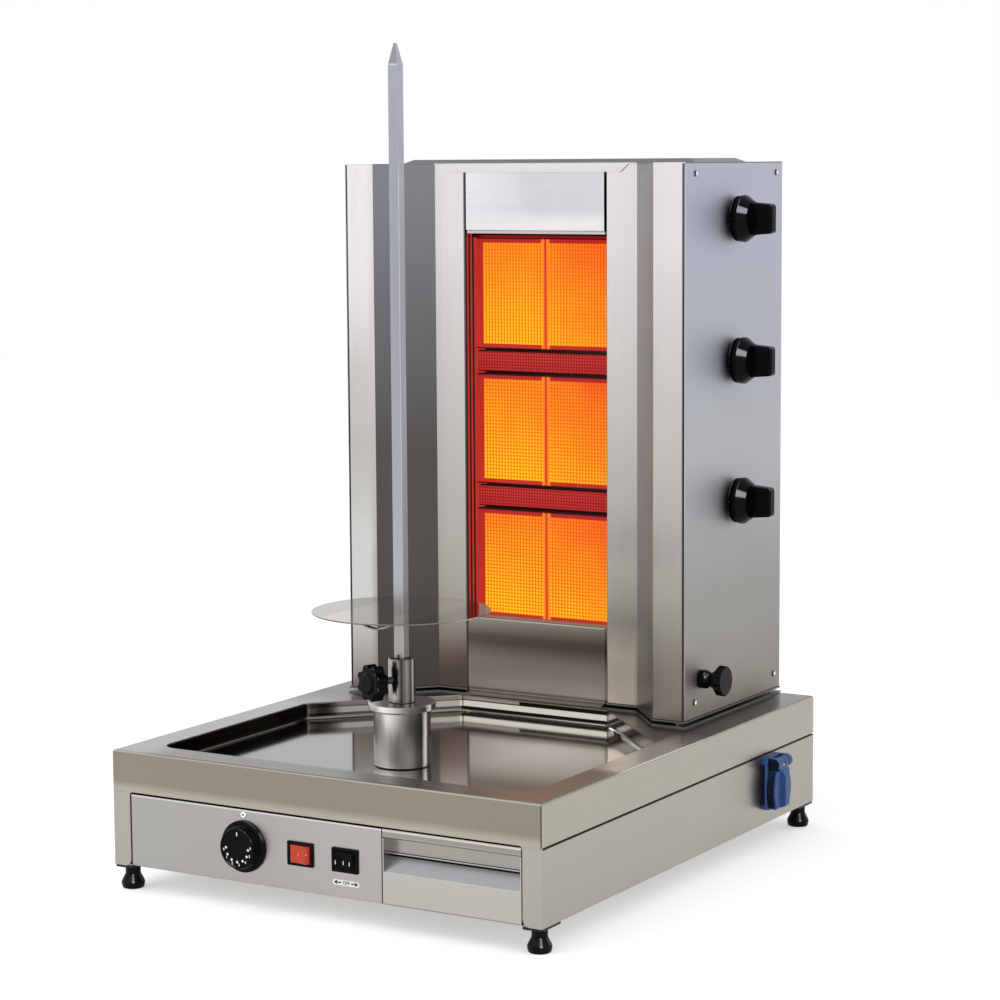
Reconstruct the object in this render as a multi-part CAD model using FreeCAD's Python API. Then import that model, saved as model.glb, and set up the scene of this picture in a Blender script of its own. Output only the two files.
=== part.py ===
import FreeCAD, Part
import math
import os

# Gas doner kebab grill. Sizes are in millimetres.
# The origin lies on the worktop under the centre of the base.
# +X is the side with the gas knobs, +Y the back, +Z up.

# Base housing
base_width = 540.0
base_depth = 650.0
base_height = 128.0
foot_height = 28.0
sheet = 1.5
thin_sheet = 1.2
fold_radius = 1.0
hood_skirt = 45.0
skirt_seam = 1.6
lap_height = 18.0
hood_edge_radius = 3.0
leg_width = 22.5
leg_corner = 8.0
leg_return = 16.0
front_opening_height = 82.8
opening_corner = 4.0
panel_gap = 1.3
body_gap = 0.3

# Drip pan
rim_width = 36.0
pan_depth = 19.5
pan_corner = 20.0
pan_bend = 4.0
pan_flange = 14.0
pan_back_half = 98.0
pan_back_gap = 5.0
pan_elbow = 12.0
drain_x = 165.0
drain_y = -232.0
drain_radius = 9.0
drain_length = 14.0

# Levelling feet
foot_inset = 16.0
foot_side_inset = 12.0
foot_radius = 13.3
foot_sole_radius = 11.6
foot_neck_radius = 8.4
foot_belly = 6.5
foot_neck_height = 16.0
foot_plate_width = 24.0
foot_plate_depth = 40.0
foot_plate_thickness = 2.5
stud_radius = 4.0
stud_length = 18.0
stud_clearance = 0.1
nut_radius = 7.5
nut_height = 6.5

# Control panel
panel_split = 80.5
panel_return = 15.0
dial_x = -95.0
dial_height = 69.0
dial_skirt_radius = 28.0
dial_face_radius = 21.6
dial_depth = 14.0
dial_flutes = 24
dial_skirt = 3.2
dial_shoulder = 1.2
dial_shoulder_radius = 24.6
dial_rim = 1.8
dial_dish = 0.8
dial_dish_slope = 0.6
dial_crown = 4.0
flute_radius = 1.2
flute_root_radius = 25.2
flute_top_radius = 22.3
spindle_radius = 3.0
bushing_radius = 5.0
running_fit = 0.05
regulator_size = 46.0
regulator_depth = 30.0
index_height = 103.4
index_radius = 3.2
index_head = 1.4
index_web = 0.6
index_stem = 4.0
switch_height = 69.6
motor_switch_x = -22.0
direction_switch_x = 34.3
bezel_width = 33.0
bezel_height = 26.0
bezel_proud = 2.0
bezel_wall = 3.4
switch_body_depth = 22.0
rocker_radius = 12.7
rocker_dip = 1.6
rocker_proud = 3.0
rocker_tilt = 7.0

# Drawer
drawer_lip = 10.2
recess_depth = 14.5
recess_height = 17.5
recess_lip = 3.0
recess_slot = 1.8
slant_height = 15.5
drawer_front_depth = 29.0
drawer_length = 356.0
drawer_sheet = 1.0
drawer_rim = 6.0
drawer_rim_drop = 5.6
drawer_floor_gap = 3.0
runner_foot = 10.0

# Spit drive and spit
spit_y = -160.0
pedestal_radius = 31.2
pedestal_wall = 3.0
pedestal_height = 60.9
pedestal_hole = 17.0
pedestal_groove = 1.2
pedestal_groove_lift = 2.5
pedestal_groove_depth = 0.6
cap_radius = 37.0
cap_height = 9.0
cap_edge = 7.0
cap_plug = 8.0
bush_radius = 11.0
bush_flange_radius = 12.6
bush_flange = 0.6
bush_length = 20.0
shaft_radius = 8.0
sleeve_radius = 14.7
sleeve_height = 47.2
sleeve_mouth_radius = 10.0
sleeve_mouth_depth = 3.7
sleeve_grip = 12.0
sleeve_web = 3.0
clamp_angle = 20.0
clamp_height = 24.2
clamp_screw_radius = 4.0
clamp_reach = 32.5
star_radius = 20.5
star_valley = 16.8
star_lobes = 8
star_thickness = 14.0
star_boss_radius = 9.5
star_boss = 5.0
star_edge = 1.6
star_hub_radius = 12.0
star_hub = 2.0
spit_side = 12.0
spit_top = 915.5
spit_point = 23.5
spit_point_side = 2.4
pin_hole_radius = 2.0
pin_hole_lift = 2.6
disc_radius = 97.5
disc_thickness = 1.5
disc_height = 306.5
collar_radius = 13.0
collar_height = 13.0
grub_radius = 2.5
lug_width = 32.0
lug_depth = 8.0
lug_sag = 4.5
lug_angle = 17.4
gearbox_width = 84.0
gearbox_depth = 64.0
gearbox_height = 48.0
gearbox_edge = 6.0
boss_radius = 14.0
boss_height = 6.0
motor_radius = 29.0
motor_length = 62.0
motor_drop = 6.0
bracket_half = 52.0
bracket_foot = 15.0
bracket_sheet = 2.0
bracket_drop = 12.0

# Power socket
socket_y = 206.0
socket_z = 75.5
socket_width = 50.0
socket_height = 63.0
socket_plate = 6.0
socket_corner = 12.0
socket_edge = 1.5
socket_well_radius = 19.0
socket_well = 17.0
socket_body_radius = 22.5
socket_body_depth = 26.0
contact_radius = 2.4
contact_spacing = 9.5
contact_depth = 8.0
lid_drop = 7.5
lid_shoulder = 17.0
lid_waist = 23.5
lid_foot = 18.0
lid_rise = 15.5
lid_fall = 22.0
lid_thickness = 10.7
lid_edge = 3.0
lid_hollow_radius = 19.5
lid_hollow = 8.0
lid_ridge_root = 17.0
lid_ridge_top = 9.0
lid_ridge = 5.0
lid_ridge_slope = 7.0
rivet_radius = 1.8
rivet_height = 0.7
hinge_radius = 6.5
hinge_ear_radius = 7.0
hinge_pin_radius = 1.5
hinge_length = 22.0
hinge_ear = 7.0
hinge_drop = 1.0

# Slide between the base and the burner tower
slide_plate = 2.0
slide_rib = 3.0
slide_rib_width = 10.0
slide_rib_x = 165.0
slide_travel = 30.0
slide_margin = 1.5
lock_y = 115.0
lock_z = 206.5
lock_bracket = 3.0
lock_bracket_margin = 8.0
lock_nut = 6.0
lock_nut_radius = 8.0
lock_foot_radius = 10.6
lock_foot = 8.0
lock_waist_radius = 7.6
lock_waist = 13.0
lock_head_radius = 17.5
lock_head_valley = 15.6
lock_head = 9.5
lock_edge = 1.8
lock_length = 32.0
lock_flutes = 12

# Burner tower
tower_width = 450.0
tower_depth = 250.0
tower_head = 72.0
tower_floor_lift = 5.6
tower_floor = 2.0
tower_floor_margin = 1.0
tower_panel_gap = 0.5
pillar_width = 40.0
recess_half = 135.0
recess_set_back = 57.0
window_half = 94.5
cheek_seam = 1.2
cheek_return = 25.0
reveal_depth = 46.0
fascia_slit = 2.2
fascia_return = 20.0
lower_fascia_cover = 18.5
upper_fascia_cover = 6.5
fascia_hem = 3.0
drip_lip = 10.0
drip_lip_drop = 2.2
roof_flap = 10.5
roof_flap_half = 126.0
roof_flap_mitre = 12.0
roof_flap_proud = 1.5
roof_cap_inset = 30.0
roof_cap_front = 158.0
roof_cap_back = 289.0
roof_cap_height = 4.5
roof_cap_slope = 9.0
louvre_rows = 9
louvre_pitch = 16.0
louvre_length = 70.0
louvre_slot = 5.0
screw_radius = 3.6
screw_head = 1.8
screw_inset = 25.0
screw_rear_inset = 17.0
screw_bottom = 17.5
screw_top = 12.5

# Burners
burner_count = 3
burner_pitch = 161.0
burner_middle = 474.5
tile_face_y = 159.0
tile_width = 85.5
tile_height = 125.0
tile_thickness = 13.0
tile_joint = 2.0
tile_window_width = 82.0
tile_window_height = 119.0
tile_divider = 6.4
frame_height = 131.0
frame_sheet = 1.2
mesh_pitch = 4.1
wire_thickness = 0.6
frame_wrap = 18.0
housing_depth = 36.0
housing_taper = 16.0
mixer_radius = 11.0
mixer_reach = 60.0
baffle_height = 25.0
baffle_return = 8.0
baffle_set_back = 2.4

# Gas valves, pipes and knobs
knob_y = 196.0
knob_lift = 88.5
bezel_radius = 25.8
bezel_foot_radius = 18.0
bezel_hole = 12.0
bezel_depth = 7.5
bezel_rim = 1.6
knob_travel = 3.0
knob_radius = 26.5
knob_flange = 4.5
knob_cone = 10.0
knob_cone_end = 19.5
knob_grip_height = 39.0
knob_grip_end = 33.0
knob_pocket = 1.2
knob_pocket_margin = 5.0
knob_grip_thickness = 12.0
knob_length = 40.0
knob_bore_depth = 15.0
stem_radius = 4.0
stem_reach = 12.0
valve_radius = 11.0
valve_length = 40.0
valve_nose_radius = 9.0
manifold_radius = 8.0
manifold_y = 222.0
manifold_inset = 29.0
manifold_bottom = 195.0
feed_radius = 3.0
feed_bend = 10.0
injector_radius = 8.0
injector_length = 12.0
inlet_radius = 10.4
inlet_length = 20.0
inlet_edge = 0.8
inlet_bore_radius = 6.2
inlet_hex = 13.5
inlet_hex_length = 12.0

# Places worked out from the sizes above
side = base_width / 2
front = -base_depth / 2
back = base_depth / 2
base_bottom = foot_height
deck = foot_height + base_height
pan_floor = deck - pan_depth
seam_top = deck - hood_skirt
opening_top = base_bottom + front_opening_height
opening_half = side - leg_width
pan_half = side - rim_width
pan_front = front + rim_width
burner_rows_half = burner_pitch * burner_count / 2
tower_top = burner_middle + burner_rows_half + tower_head
lower_fascia_top = burner_middle - burner_rows_half + lower_fascia_cover
upper_fascia_bottom = burner_middle + burner_rows_half - upper_fascia_cover
tower_back = back
tower_front = tower_back - tower_depth
tower_half = tower_width / 2
recess_y = tower_front + recess_set_back
pillar_inner = tower_half - pillar_width
pan_back = recess_y - pan_back_gap
foot_x = side - foot_side_inset
foot_y = back - foot_inset
panel_right = panel_split - panel_gap
panel_left = panel_gap - opening_half
panel_bottom = base_bottom + 0.8
panel_top = opening_top - panel_gap
panel_back_face = front + thin_sheet
well_z = socket_z - lid_drop
cap_top = pan_floor + pedestal_height + cap_height
sleeve_bottom = cap_top + bush_flange + body_gap
sleeve_top = sleeve_bottom + sleeve_height
clamp_z = sleeve_bottom + clamp_height
spit_shoulder = sleeve_top - sleeve_mouth_depth + body_gap
socket_floor = sleeve_bottom + sleeve_grip + sleeve_web
tang_radius = spit_side / 2
bracket_top = pan_floor - bracket_drop
gearbox_top = bracket_top - bracket_sheet
slide_top = deck + slide_plate
floor_bottom = deck + tower_floor_lift
floor_top = floor_bottom + tower_floor
tower_bottom = floor_top + tower_panel_gap
panel_face = tower_half
panel_inner = tower_half - thin_sheet
frame_half = window_half - body_gap
housing_half = frame_half - frame_sheet - body_gap
burner_back = tile_face_y + tile_thickness
feed_x = tower_half - 60.0
manifold_x = tower_half - manifold_inset
bracket_face = panel_inner - lock_nut - lock_bracket / 2
bracket_front = lock_y - slide_travel - lock_bracket_margin
bracket_back = lock_y + lock_bracket_margin
slot_room = 1.0
burner_centres = [burner_middle + burner_pitch * (n - (burner_count - 1) / 2) for n in range(burner_count)]


def vec(x, y, z):
    return FreeCAD.Vector(x, y, z)


def box(x0, x1, y0, y1, z0, z1):
    return Part.makeBox(x1 - x0, y1 - y0, z1 - z0, vec(x0, y0, z0))


def cylinder(radius, start, direction, length):
    return Part.makeCylinder(radius, length, start, direction)


# Closed outline through corner points, each corner rounded by its own radius
def outline(points, radii, lift):
    count = len(points)
    starts = []
    edges = []
    for n in range(count):
        here = points[n]
        before = points[n - 1]
        after = points[(n + 1) % count]
        radius = radii[n]
        into = lift(*here).sub(lift(*before)).normalize()
        out = lift(*after).sub(lift(*here)).normalize()
        if radius == 0:
            starts.append((lift(*here), lift(*here)))
            continue
        turn = into.getAngle(out)
        trim = radius * math.tan(turn / 2)
        first = lift(*here).sub(FreeCAD.Vector(into).multiply(trim))
        last = lift(*here).add(FreeCAD.Vector(out).multiply(trim))
        inward = out.sub(into).normalize()
        middle = lift(*here).add(inward.multiply(radius / math.cos(turn / 2) - radius))
        starts.append((first, last))
        edges.append(Part.Arc(first, middle, last).toShape())
    for n in range(count):
        leave = starts[n - 1][1]
        reach = starts[n][0]
        if leave.distanceToPoint(reach) > 1e-6:
            edges.append(Part.makeLine(leave, reach))
    return Part.Wire(Part.__sortEdges__(edges))


# Prism of an outline drawn in the XY, XZ or YZ plane
def prism(points, radii, plane, low, high):
    lifts = {
        "XY": (lambda u, v: vec(u, v, low), vec(0, 0, high - low)),
        "XZ": (lambda u, v: vec(u, low, v), vec(0, high - low, 0)),
        "YZ": (lambda u, v: vec(low, u, v), vec(high - low, 0, 0)),
    }
    lift, travel = lifts[plane]
    return Part.Face(outline(points, radii, lift)).extrude(travel)


def rounded_box(x0, x1, y0, y1, z0, z1, radius, plane):
    spans = {"XY": (x0, x1, y0, y1, z0, z1), "XZ": (x0, x1, z0, z1, y0, y1), "YZ": (y0, y1, z0, z1, x0, x1)}
    u0, u1, v0, v1, low, high = spans[plane]
    return prism([(u0, v0), (u1, v0), (u1, v1), (u0, v1)], [radius] * 4, plane, low, high)


# Line parallel to a chain of points, on its left
def beside(points, distance):
    shifted = []
    last = len(points) - 1
    for n, (u, v) in enumerate(points):
        normals = []
        if n > 0:
            du, dv = u - points[n - 1][0], v - points[n - 1][1]
            normals.append((-dv / math.hypot(du, dv), du / math.hypot(du, dv)))
        if n < last:
            du, dv = points[n + 1][0] - u, points[n + 1][1] - v
            normals.append((-dv / math.hypot(du, dv), du / math.hypot(du, dv)))
        mean_u = sum(normal[0] for normal in normals) / len(normals)
        mean_v = sum(normal[1] for normal in normals) / len(normals)
        scale = distance / (mean_u ** 2 + mean_v ** 2)
        shifted.append((u + mean_u * scale, v + mean_v * scale))
    return shifted


# Folded sheet metal: the chain is one face, the sheet lies on its left or, when negative, its right
def folded(points, thickness, plane, low, high):
    other = beside(points, thickness)
    gauge = abs(thickness)
    near = [0.0]
    far = [0.0]
    for n in range(1, len(points) - 1):
        du, dv = points[n][0] - points[n - 1][0], points[n][1] - points[n - 1][1]
        eu, ev = points[n + 1][0] - points[n][0], points[n + 1][1] - points[n][1]
        left_turn = du * ev - dv * eu > 0
        inside = left_turn == (thickness > 0)
        near.append(fold_radius + gauge if inside else fold_radius)
        far.append(fold_radius if inside else fold_radius + gauge)
    near.append(0.0)
    far.append(0.0)
    return prism(points + other[::-1], near + far[::-1], plane, low, high)


# Turned part: closed chain of (radius, height) about an axis
def turned(points, radii, start, direction):
    wire = outline(points, radii, lambda r, h: vec(r, 0, h))
    shape = Part.Face(wire).revolve(vec(0, 0, 0), vec(0, 0, 1), 360)
    shape.Placement = FreeCAD.Placement(start, FreeCAD.Rotation(vec(0, 0, 1), direction))
    return shape


# Star outline: convex lobes joined by hollow arcs
def star(lobes, crest, valley, start, direction, length):
    pitch = 2 * math.pi / lobes
    middle = (crest + valley) / 2

    def at(radius, angle):
        return vec(radius * math.cos(angle), radius * math.sin(angle), 0)

    edges = []
    for n in range(lobes):
        angle = n * pitch
        entry = at(middle, angle - pitch / 4)
        leave = at(middle, angle + pitch / 4)
        edges.append(Part.Arc(entry, at(crest, angle), leave).toShape())
        edges.append(Part.Arc(leave, at(valley, angle + pitch / 2), at(middle, angle + pitch * 3 / 4)).toShape())
    shape = Part.Face(Part.Wire(edges)).extrude(vec(0, 0, length))
    shape.Placement = FreeCAD.Placement(start, FreeCAD.Rotation(vec(0, 0, 1), direction))
    return shape


def fuse(shapes):
    return shapes[0].multiFuse(shapes[1:]).removeSplitter()


def cut(shape, tools):
    return shape.cut(tools)


def soften(shape, radius, chosen):
    return shape.makeFillet(radius, [edge for edge in shape.Edges if chosen(edge)])


def flat_at(edge, axis, value):
    low, high = {"x": (edge.BoundBox.XMin, edge.BoundBox.XMax), "y": (edge.BoundBox.YMin, edge.BoundBox.YMax),
                 "z": (edge.BoundBox.ZMin, edge.BoundBox.ZMax)}[axis]
    return abs(low - value) < 1e-4 and abs(high - value) < 1e-4


def mirrored(shape):
    return shape.mirror(vec(0, 0, 0), vec(1, 0, 0))


# Round pipe along a chain of points with equal bends
def pipe(points, radius, bend):
    edges = []
    leave = points[0]
    for n in range(1, len(points) - 1):
        into = points[n].sub(points[n - 1]).normalize()
        out = points[n + 1].sub(points[n]).normalize()
        turn = into.getAngle(out)
        trim = bend * math.tan(turn / 2)
        first = points[n].sub(FreeCAD.Vector(into).multiply(trim))
        last = points[n].add(FreeCAD.Vector(out).multiply(trim))
        inward = out.sub(into).normalize()
        middle = points[n].add(inward.multiply(bend / math.cos(turn / 2) - bend))
        edges.append(Part.makeLine(leave, first))
        edges.append(Part.Arc(first, middle, last).toShape())
        leave = last
    edges.append(Part.makeLine(leave, points[-1]))
    path = Part.Wire(edges)
    start = points[1].sub(points[0]).normalize()
    section = Part.Wire(Part.makeCircle(radius, points[0], start))
    return path.makePipeShell([section], True, True)


# Plan of the drip pan: square front, corners cut at 45 degrees towards the burners
def pan_plan(grow):
    half = pan_half + grow
    near = pan_front - grow
    far = pan_back + grow
    slope = pan_back + pan_back_half + grow * math.sqrt(2)
    points = [(-half, near), (half, near), (half, slope - half), (slope - far, far),
              (far - slope, far), (-half, slope - half)]
    radii = [pan_corner + grow, pan_corner + grow, pan_elbow, pan_elbow, pan_elbow, pan_elbow]
    return points, radii


# Plan of the burner tower: two front pillars and a recess with slanted cheeks
def tower_plan(inset):
    run = recess_set_back
    rise = pillar_inner - recess_half
    slant = math.hypot(run, rise)
    shift_outer = inset * (slant - rise) / run
    shift_inner = inset * (slant - rise) / run
    half = tower_half - inset
    near = tower_front + inset
    pillar = pillar_inner + shift_outer
    recess = recess_half + shift_inner
    return [(-half, near), (-pillar, near), (-recess, recess_y + inset), (recess, recess_y + inset),
            (pillar, near), (half, near), (half, tower_back - inset), (-half, tower_back - inset)]


def base_hood():
    shell = box(-side, side, front, back, base_bottom, deck)
    shell = soften(shell, hood_edge_radius, lambda e: flat_at(e, "z", deck))
    hollow = box(-side + sheet, side - sheet, front + sheet, back - sheet, base_bottom, deck - sheet)
    hollow = soften(hollow, hood_edge_radius - sheet, lambda e: flat_at(e, "z", deck - sheet))
    below = box(-side, side, front + sheet, back, base_bottom, seam_top)
    points = [(-opening_half, base_bottom), (opening_half, base_bottom),
              (opening_half, opening_top), (-opening_half, opening_top)]
    opening = prism(points, [0, 0, opening_corner, opening_corner], "XZ", front, front + sheet)
    pan_points, pan_radii = pan_plan(0)
    well = prism(pan_points, pan_radii, "XY", deck - sheet, deck)
    hood = cut(shell, [hollow, below, opening, well])

    def leg_foot(edge):
        return flat_at(edge, "z", base_bottom) and abs(abs(edge.BoundBox.Center.x) - opening_half) < 1e-4

    hood = soften(hood, leg_corner, leg_foot)
    returns = []
    for sign in (-1, 1):
        inner = sorted([sign * opening_half, sign * (opening_half + sheet)])
        low = base_bottom + leg_corner
        high = opening_top - opening_corner
        returns.append(box(inner[0], inner[1], front + sheet, front + leg_return, low, high))
    return fuse([hood] + returns)


def drip_pan():
    rim_top = deck - sheet
    outer_points, outer_radii = pan_plan(sheet)
    tub = prism(outer_points, outer_radii, "XY", pan_floor - sheet, rim_top)
    tub = soften(tub, pan_bend + sheet, lambda e: flat_at(e, "z", pan_floor - sheet))
    inner_points, inner_radii = pan_plan(0)
    hollow = prism(inner_points, inner_radii, "XY", pan_floor, rim_top)
    hollow = soften(hollow, pan_bend, lambda e: flat_at(e, "z", pan_floor))
    flange_points, flange_radii = pan_plan(pan_flange)
    flange = prism(flange_points, flange_radii, "XY", rim_top - sheet, rim_top)
    spout = cylinder(drain_radius + sheet, vec(drain_x, drain_y, pan_floor - drain_length), vec(0, 0, 1), drain_length)
    drain = cylinder(drain_radius, vec(drain_x, drain_y, pan_floor - drain_length), vec(0, 0, 1), drain_length)
    shaft_hole = cylinder(pedestal_hole, vec(0, spit_y, pan_floor - sheet), vec(0, 0, 1), sheet)
    return cut(fuse([tub, flange, spout]), [hollow, drain, shaft_hole])


def base_chassis():
    front_edge = front + sheet
    wall_top = seam_top - skirt_seam
    walls = box(-side, side, front_edge, back, base_bottom, wall_top)
    hollow = box(-side + sheet, side - sheet, front_edge, back - sheet, base_bottom + sheet, wall_top)
    lower = cut(walls, [hollow])
    lap_low = wall_top - hood_skirt / 5
    lap_high = seam_top + lap_height
    lap = box(-side + sheet, side - sheet, front_edge, back - sheet, lap_low, lap_high)
    lap_hollow = box(-side + 2 * sheet, side - 2 * sheet, front_edge, back - 2 * sheet, lap_low, lap_high)
    panel_room = box(-opening_half, panel_split, front_edge, front + panel_return + body_gap, base_bottom, base_bottom + sheet)
    drawer_room = box(panel_right, opening_half, front_edge, front + drawer_front_depth + body_gap, base_bottom,
                      base_bottom + sheet)
    chassis = fuse([lower, cut(lap, [lap_hollow])])
    stud_holes = [cylinder(stud_radius + stud_clearance, vec(x, y, base_bottom), vec(0, 0, 1), sheet)
                  for x in (-foot_x, foot_x) for y in (-foot_y, foot_y)]
    socket_hole = cylinder(socket_body_radius + body_gap, vec(side - sheet, socket_y, well_z), vec(1, 0, 0), sheet)
    return cut(chassis, stud_holes + [socket_hole, panel_room, drawer_room])


def control_panel():
    inner = front + panel_return
    chain = [(inner, panel_bottom), (front, panel_bottom), (front, panel_top), (inner, panel_top)]
    panel = folded(chain[::-1], thin_sheet, "YZ", panel_left, panel_right)
    end = box(panel_right - thin_sheet, panel_right, front + thin_sheet, inner + 2 * thin_sheet,
              panel_bottom + thin_sheet, panel_top - thin_sheet)
    holes = [cylinder(bushing_radius + body_gap, vec(dial_x, front, dial_height), vec(0, 1, 0), thin_sheet),
             cylinder(index_radius / 2 + body_gap, vec(dial_x, front, index_height), vec(0, 1, 0), thin_sheet)]
    half_width = bezel_width / 2 - bezel_wall + 1.2
    half_height = bezel_height / 2 - bezel_wall + 1.2
    for x in (motor_switch_x, direction_switch_x):
        holes.append(box(x - half_width, x + half_width, front, front + thin_sheet,
                         switch_height - half_height, switch_height + half_height))
    return cut(fuse([panel, end]), holes)


def regulator():
    half = regulator_size / 2
    body = rounded_box(dial_x - half, dial_x + half, panel_back_face, panel_back_face + regulator_depth,
                       dial_height - half / 1.4, dial_height + half / 1.4, 4.0, "XZ")
    bushing = cylinder(bushing_radius, vec(dial_x, front, dial_height), vec(0, 1, 0), thin_sheet)
    bore = cylinder(spindle_radius + running_fit, vec(dial_x, front, dial_height), vec(0, 1, 0), regulator_depth / 2)
    return cut(fuse([body, bushing]), [bore])


def dial():
    dish_radius = dial_face_radius - dial_rim
    crown_start = dial_depth - dial_crown
    profile = [(spindle_radius, body_gap), (dial_skirt_radius, body_gap), (dial_skirt_radius, dial_skirt),
               (dial_shoulder_radius, dial_skirt + dial_shoulder), (dial_face_radius, dial_depth), (dish_radius, dial_depth),
               (dish_radius - dial_dish_slope, dial_depth - dial_dish), (0, dial_depth - dial_dish), (0, crown_start),
               (spindle_radius, crown_start)]
    knob = turned(profile, [0, 0, 1.2, 0, 1.0, 0, 0, 0, 0, 0], vec(dial_x, front, dial_height), vec(0, -1, 0))
    flutes = []
    for n in range(dial_flutes):
        angle = 2 * math.pi * (n + 0.5) / dial_flutes
        across = vec(math.cos(angle), 0, math.sin(angle))
        low = vec(dial_x, front - dial_skirt - dial_shoulder - 0.4, dial_height).add(vec(*across).multiply(flute_root_radius))
        high = vec(dial_x, front - dial_depth - 1.0, dial_height).add(vec(*across).multiply(flute_top_radius))
        flutes.append(cylinder(flute_radius, low, high.sub(low), high.distanceToPoint(low)))
    spindle = cylinder(spindle_radius, vec(dial_x, front - crown_start, dial_height), vec(0, 1, 0),
                       crown_start + regulator_depth / 2 - body_gap)
    return Part.makeCompound([cut(knob, flutes), spindle])


def dial_index():
    stem = index_radius / 2
    dimple = index_radius * 0.4
    profile = [(0, index_web), (dimple, index_web), (dimple, index_head), (index_radius, index_head),
               (index_radius, 0), (stem, 0), (stem, -index_stem), (0, -index_stem)]
    return turned(profile, [0, 0, 0, 0.5, 0, 0, 0, 0], vec(dial_x, front, index_height), vec(0, -1, 0))


def switch_body(x):
    half_width = bezel_width / 2
    half_height = bezel_height / 2
    bezel = rounded_box(x - half_width, x + half_width, front - bezel_proud, front,
                        switch_height - half_height, switch_height + half_height, 1.5, "XZ")
    bezel = soften(bezel, 0.8, lambda e: flat_at(e, "y", front - bezel_proud))
    inner_width = half_width - bezel_wall
    inner_height = half_height - bezel_wall
    body = box(x - inner_width - 0.9, x + inner_width + 0.9, front, front + switch_body_depth,
               switch_height - inner_height - 0.9, switch_height + inner_height + 0.9)
    well = box(x - inner_width, x + inner_width, front - bezel_proud, front + 9.5,
               switch_height - inner_height, switch_height + inner_height)
    terminals = [box(x + step - 0.4, x + step + 0.4, front + switch_body_depth, front + switch_body_depth + 8.0,
                     switch_height - 3.0, switch_height + 3.0) for step in (-8.0, 0.0, 8.0)]
    return cut(fuse([bezel, body] + terminals), [well])


# Rocker with a dished face, its ends turned about the pivot
def rocker(x, tilt):
    pivot = front + 3.0
    half_height = bezel_height / 2 - bezel_wall - body_gap
    reach = rocker_radius
    low = pivot - front + bezel_proud + rocker_proud
    points = [(-reach, 4.5), (-reach, -low), (0, -low + rocker_dip), (reach, -low), (reach, 4.5)]
    face = prism([(x + u, pivot + v) for u, v in points], [0, 0, 8.0, 0, 0], "XY",
                 switch_height - half_height, switch_height + half_height)
    drum = cylinder(reach, vec(x, pivot, switch_height - half_height), vec(0, 0, 1), 2 * half_height)
    shape = face.common(drum).removeSplitter()
    shape.rotate(vec(x, pivot, 0), vec(0, 0, 1), tilt)
    return shape


def drawer_front():
    left = panel_split
    right = opening_half - panel_gap
    behind = front + drawer_front_depth
    lip_low = panel_top - drawer_lip
    recess_back = front + recess_depth
    recess_low = lip_low - recess_height
    slot_low = recess_low - thin_sheet - recess_slot
    upper = [(behind, panel_top), (front, panel_top), (front, lip_low), (recess_back, lip_low),
             (recess_back, recess_low), (recess_back - recess_lip, recess_low)]
    slant_low = slot_low - slant_height
    lower = [(behind, slot_low), (recess_back - 1.0, slot_low), (front, slant_low), (front, panel_bottom),
             (behind, panel_bottom)]
    sheets = [folded(upper, thin_sheet, "YZ", left, right), folded(lower, thin_sheet, "YZ", left, right)]
    cheek_top = panel_top - thin_sheet
    outline_points = [(front + thin_sheet, cheek_top), (front + thin_sheet, lip_low), (front, lip_low),
                      (front, slant_low), (behind, slant_low), (behind, cheek_top)]
    for edge in (left, right - thin_sheet):
        sheets.append(prism(outline_points, [0] * 6, "YZ", edge, edge + thin_sheet))
    return fuse(sheets)


def drawer_sides():
    rim = drawer_rim
    left = panel_split + rim + 1.5
    right = opening_half - panel_gap - rim - 1.1
    return left, right


def drawer_box():
    left, right = drawer_sides()
    near = front + drawer_front_depth
    far = near + drawer_length
    top = panel_top - drawer_rim_drop
    low = base_bottom + sheet + drawer_floor_gap - body_gap
    tub = box(left, right, near, far, low, top)
    tub = soften(tub, pan_bend, lambda e: flat_at(e, "z", low) or
                 (abs(e.BoundBox.ZLength - (top - low)) < 1e-4 and e.BoundBox.YMin > near + 1))
    hollow = box(left + drawer_sheet, right - drawer_sheet, near + drawer_sheet, far - drawer_sheet,
                 low + drawer_sheet, top)
    hollow = soften(hollow, pan_bend - drawer_sheet, lambda e: not flat_at(e, "z", top))
    rim = box(left - drawer_rim, right + drawer_rim, near, far, top - drawer_sheet, top)
    return cut(fuse([tub, rim]), [hollow])


def drawer_runners():
    left, right = drawer_sides()
    near = front + drawer_front_depth + 2.0
    far = near + drawer_length
    shelf = panel_top - drawer_rim_drop - drawer_sheet - body_gap
    low = base_bottom + sheet
    web = left - drawer_rim - body_gap
    chain = [(web - runner_foot, low + sheet), (web, low + sheet), (web, shelf), (left - body_gap, shelf)]
    runner = folded(chain, -sheet, "XZ", near, far)
    centre = (left + right) / 2
    other = runner.mirror(vec(centre, 0, 0), vec(1, 0, 0))
    return Part.makeCompound([runner, other])


def foot(x, y):
    top = foot_height - foot_plate_thickness - body_gap
    profile = [(0, 0), (foot_sole_radius, 0), (foot_radius, foot_belly), (foot_neck_radius, foot_neck_height),
               (foot_neck_radius, top), (stud_radius, top), (stud_radius, top + stud_length), (0, top + stud_length)]
    radii = [0, 2.0, 6.0, 4.0, 0, 0, 0, 0]
    return turned(profile, radii, vec(x, y, 0), vec(0, 0, 1))


def hexagon(radius, x, y, z, height):
    corners = [(x + radius * math.cos(math.pi * n / 3), y + radius * math.sin(math.pi * n / 3)) for n in range(6)]
    return prism(corners, [0] * 6, "XY", z, z + height)


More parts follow.
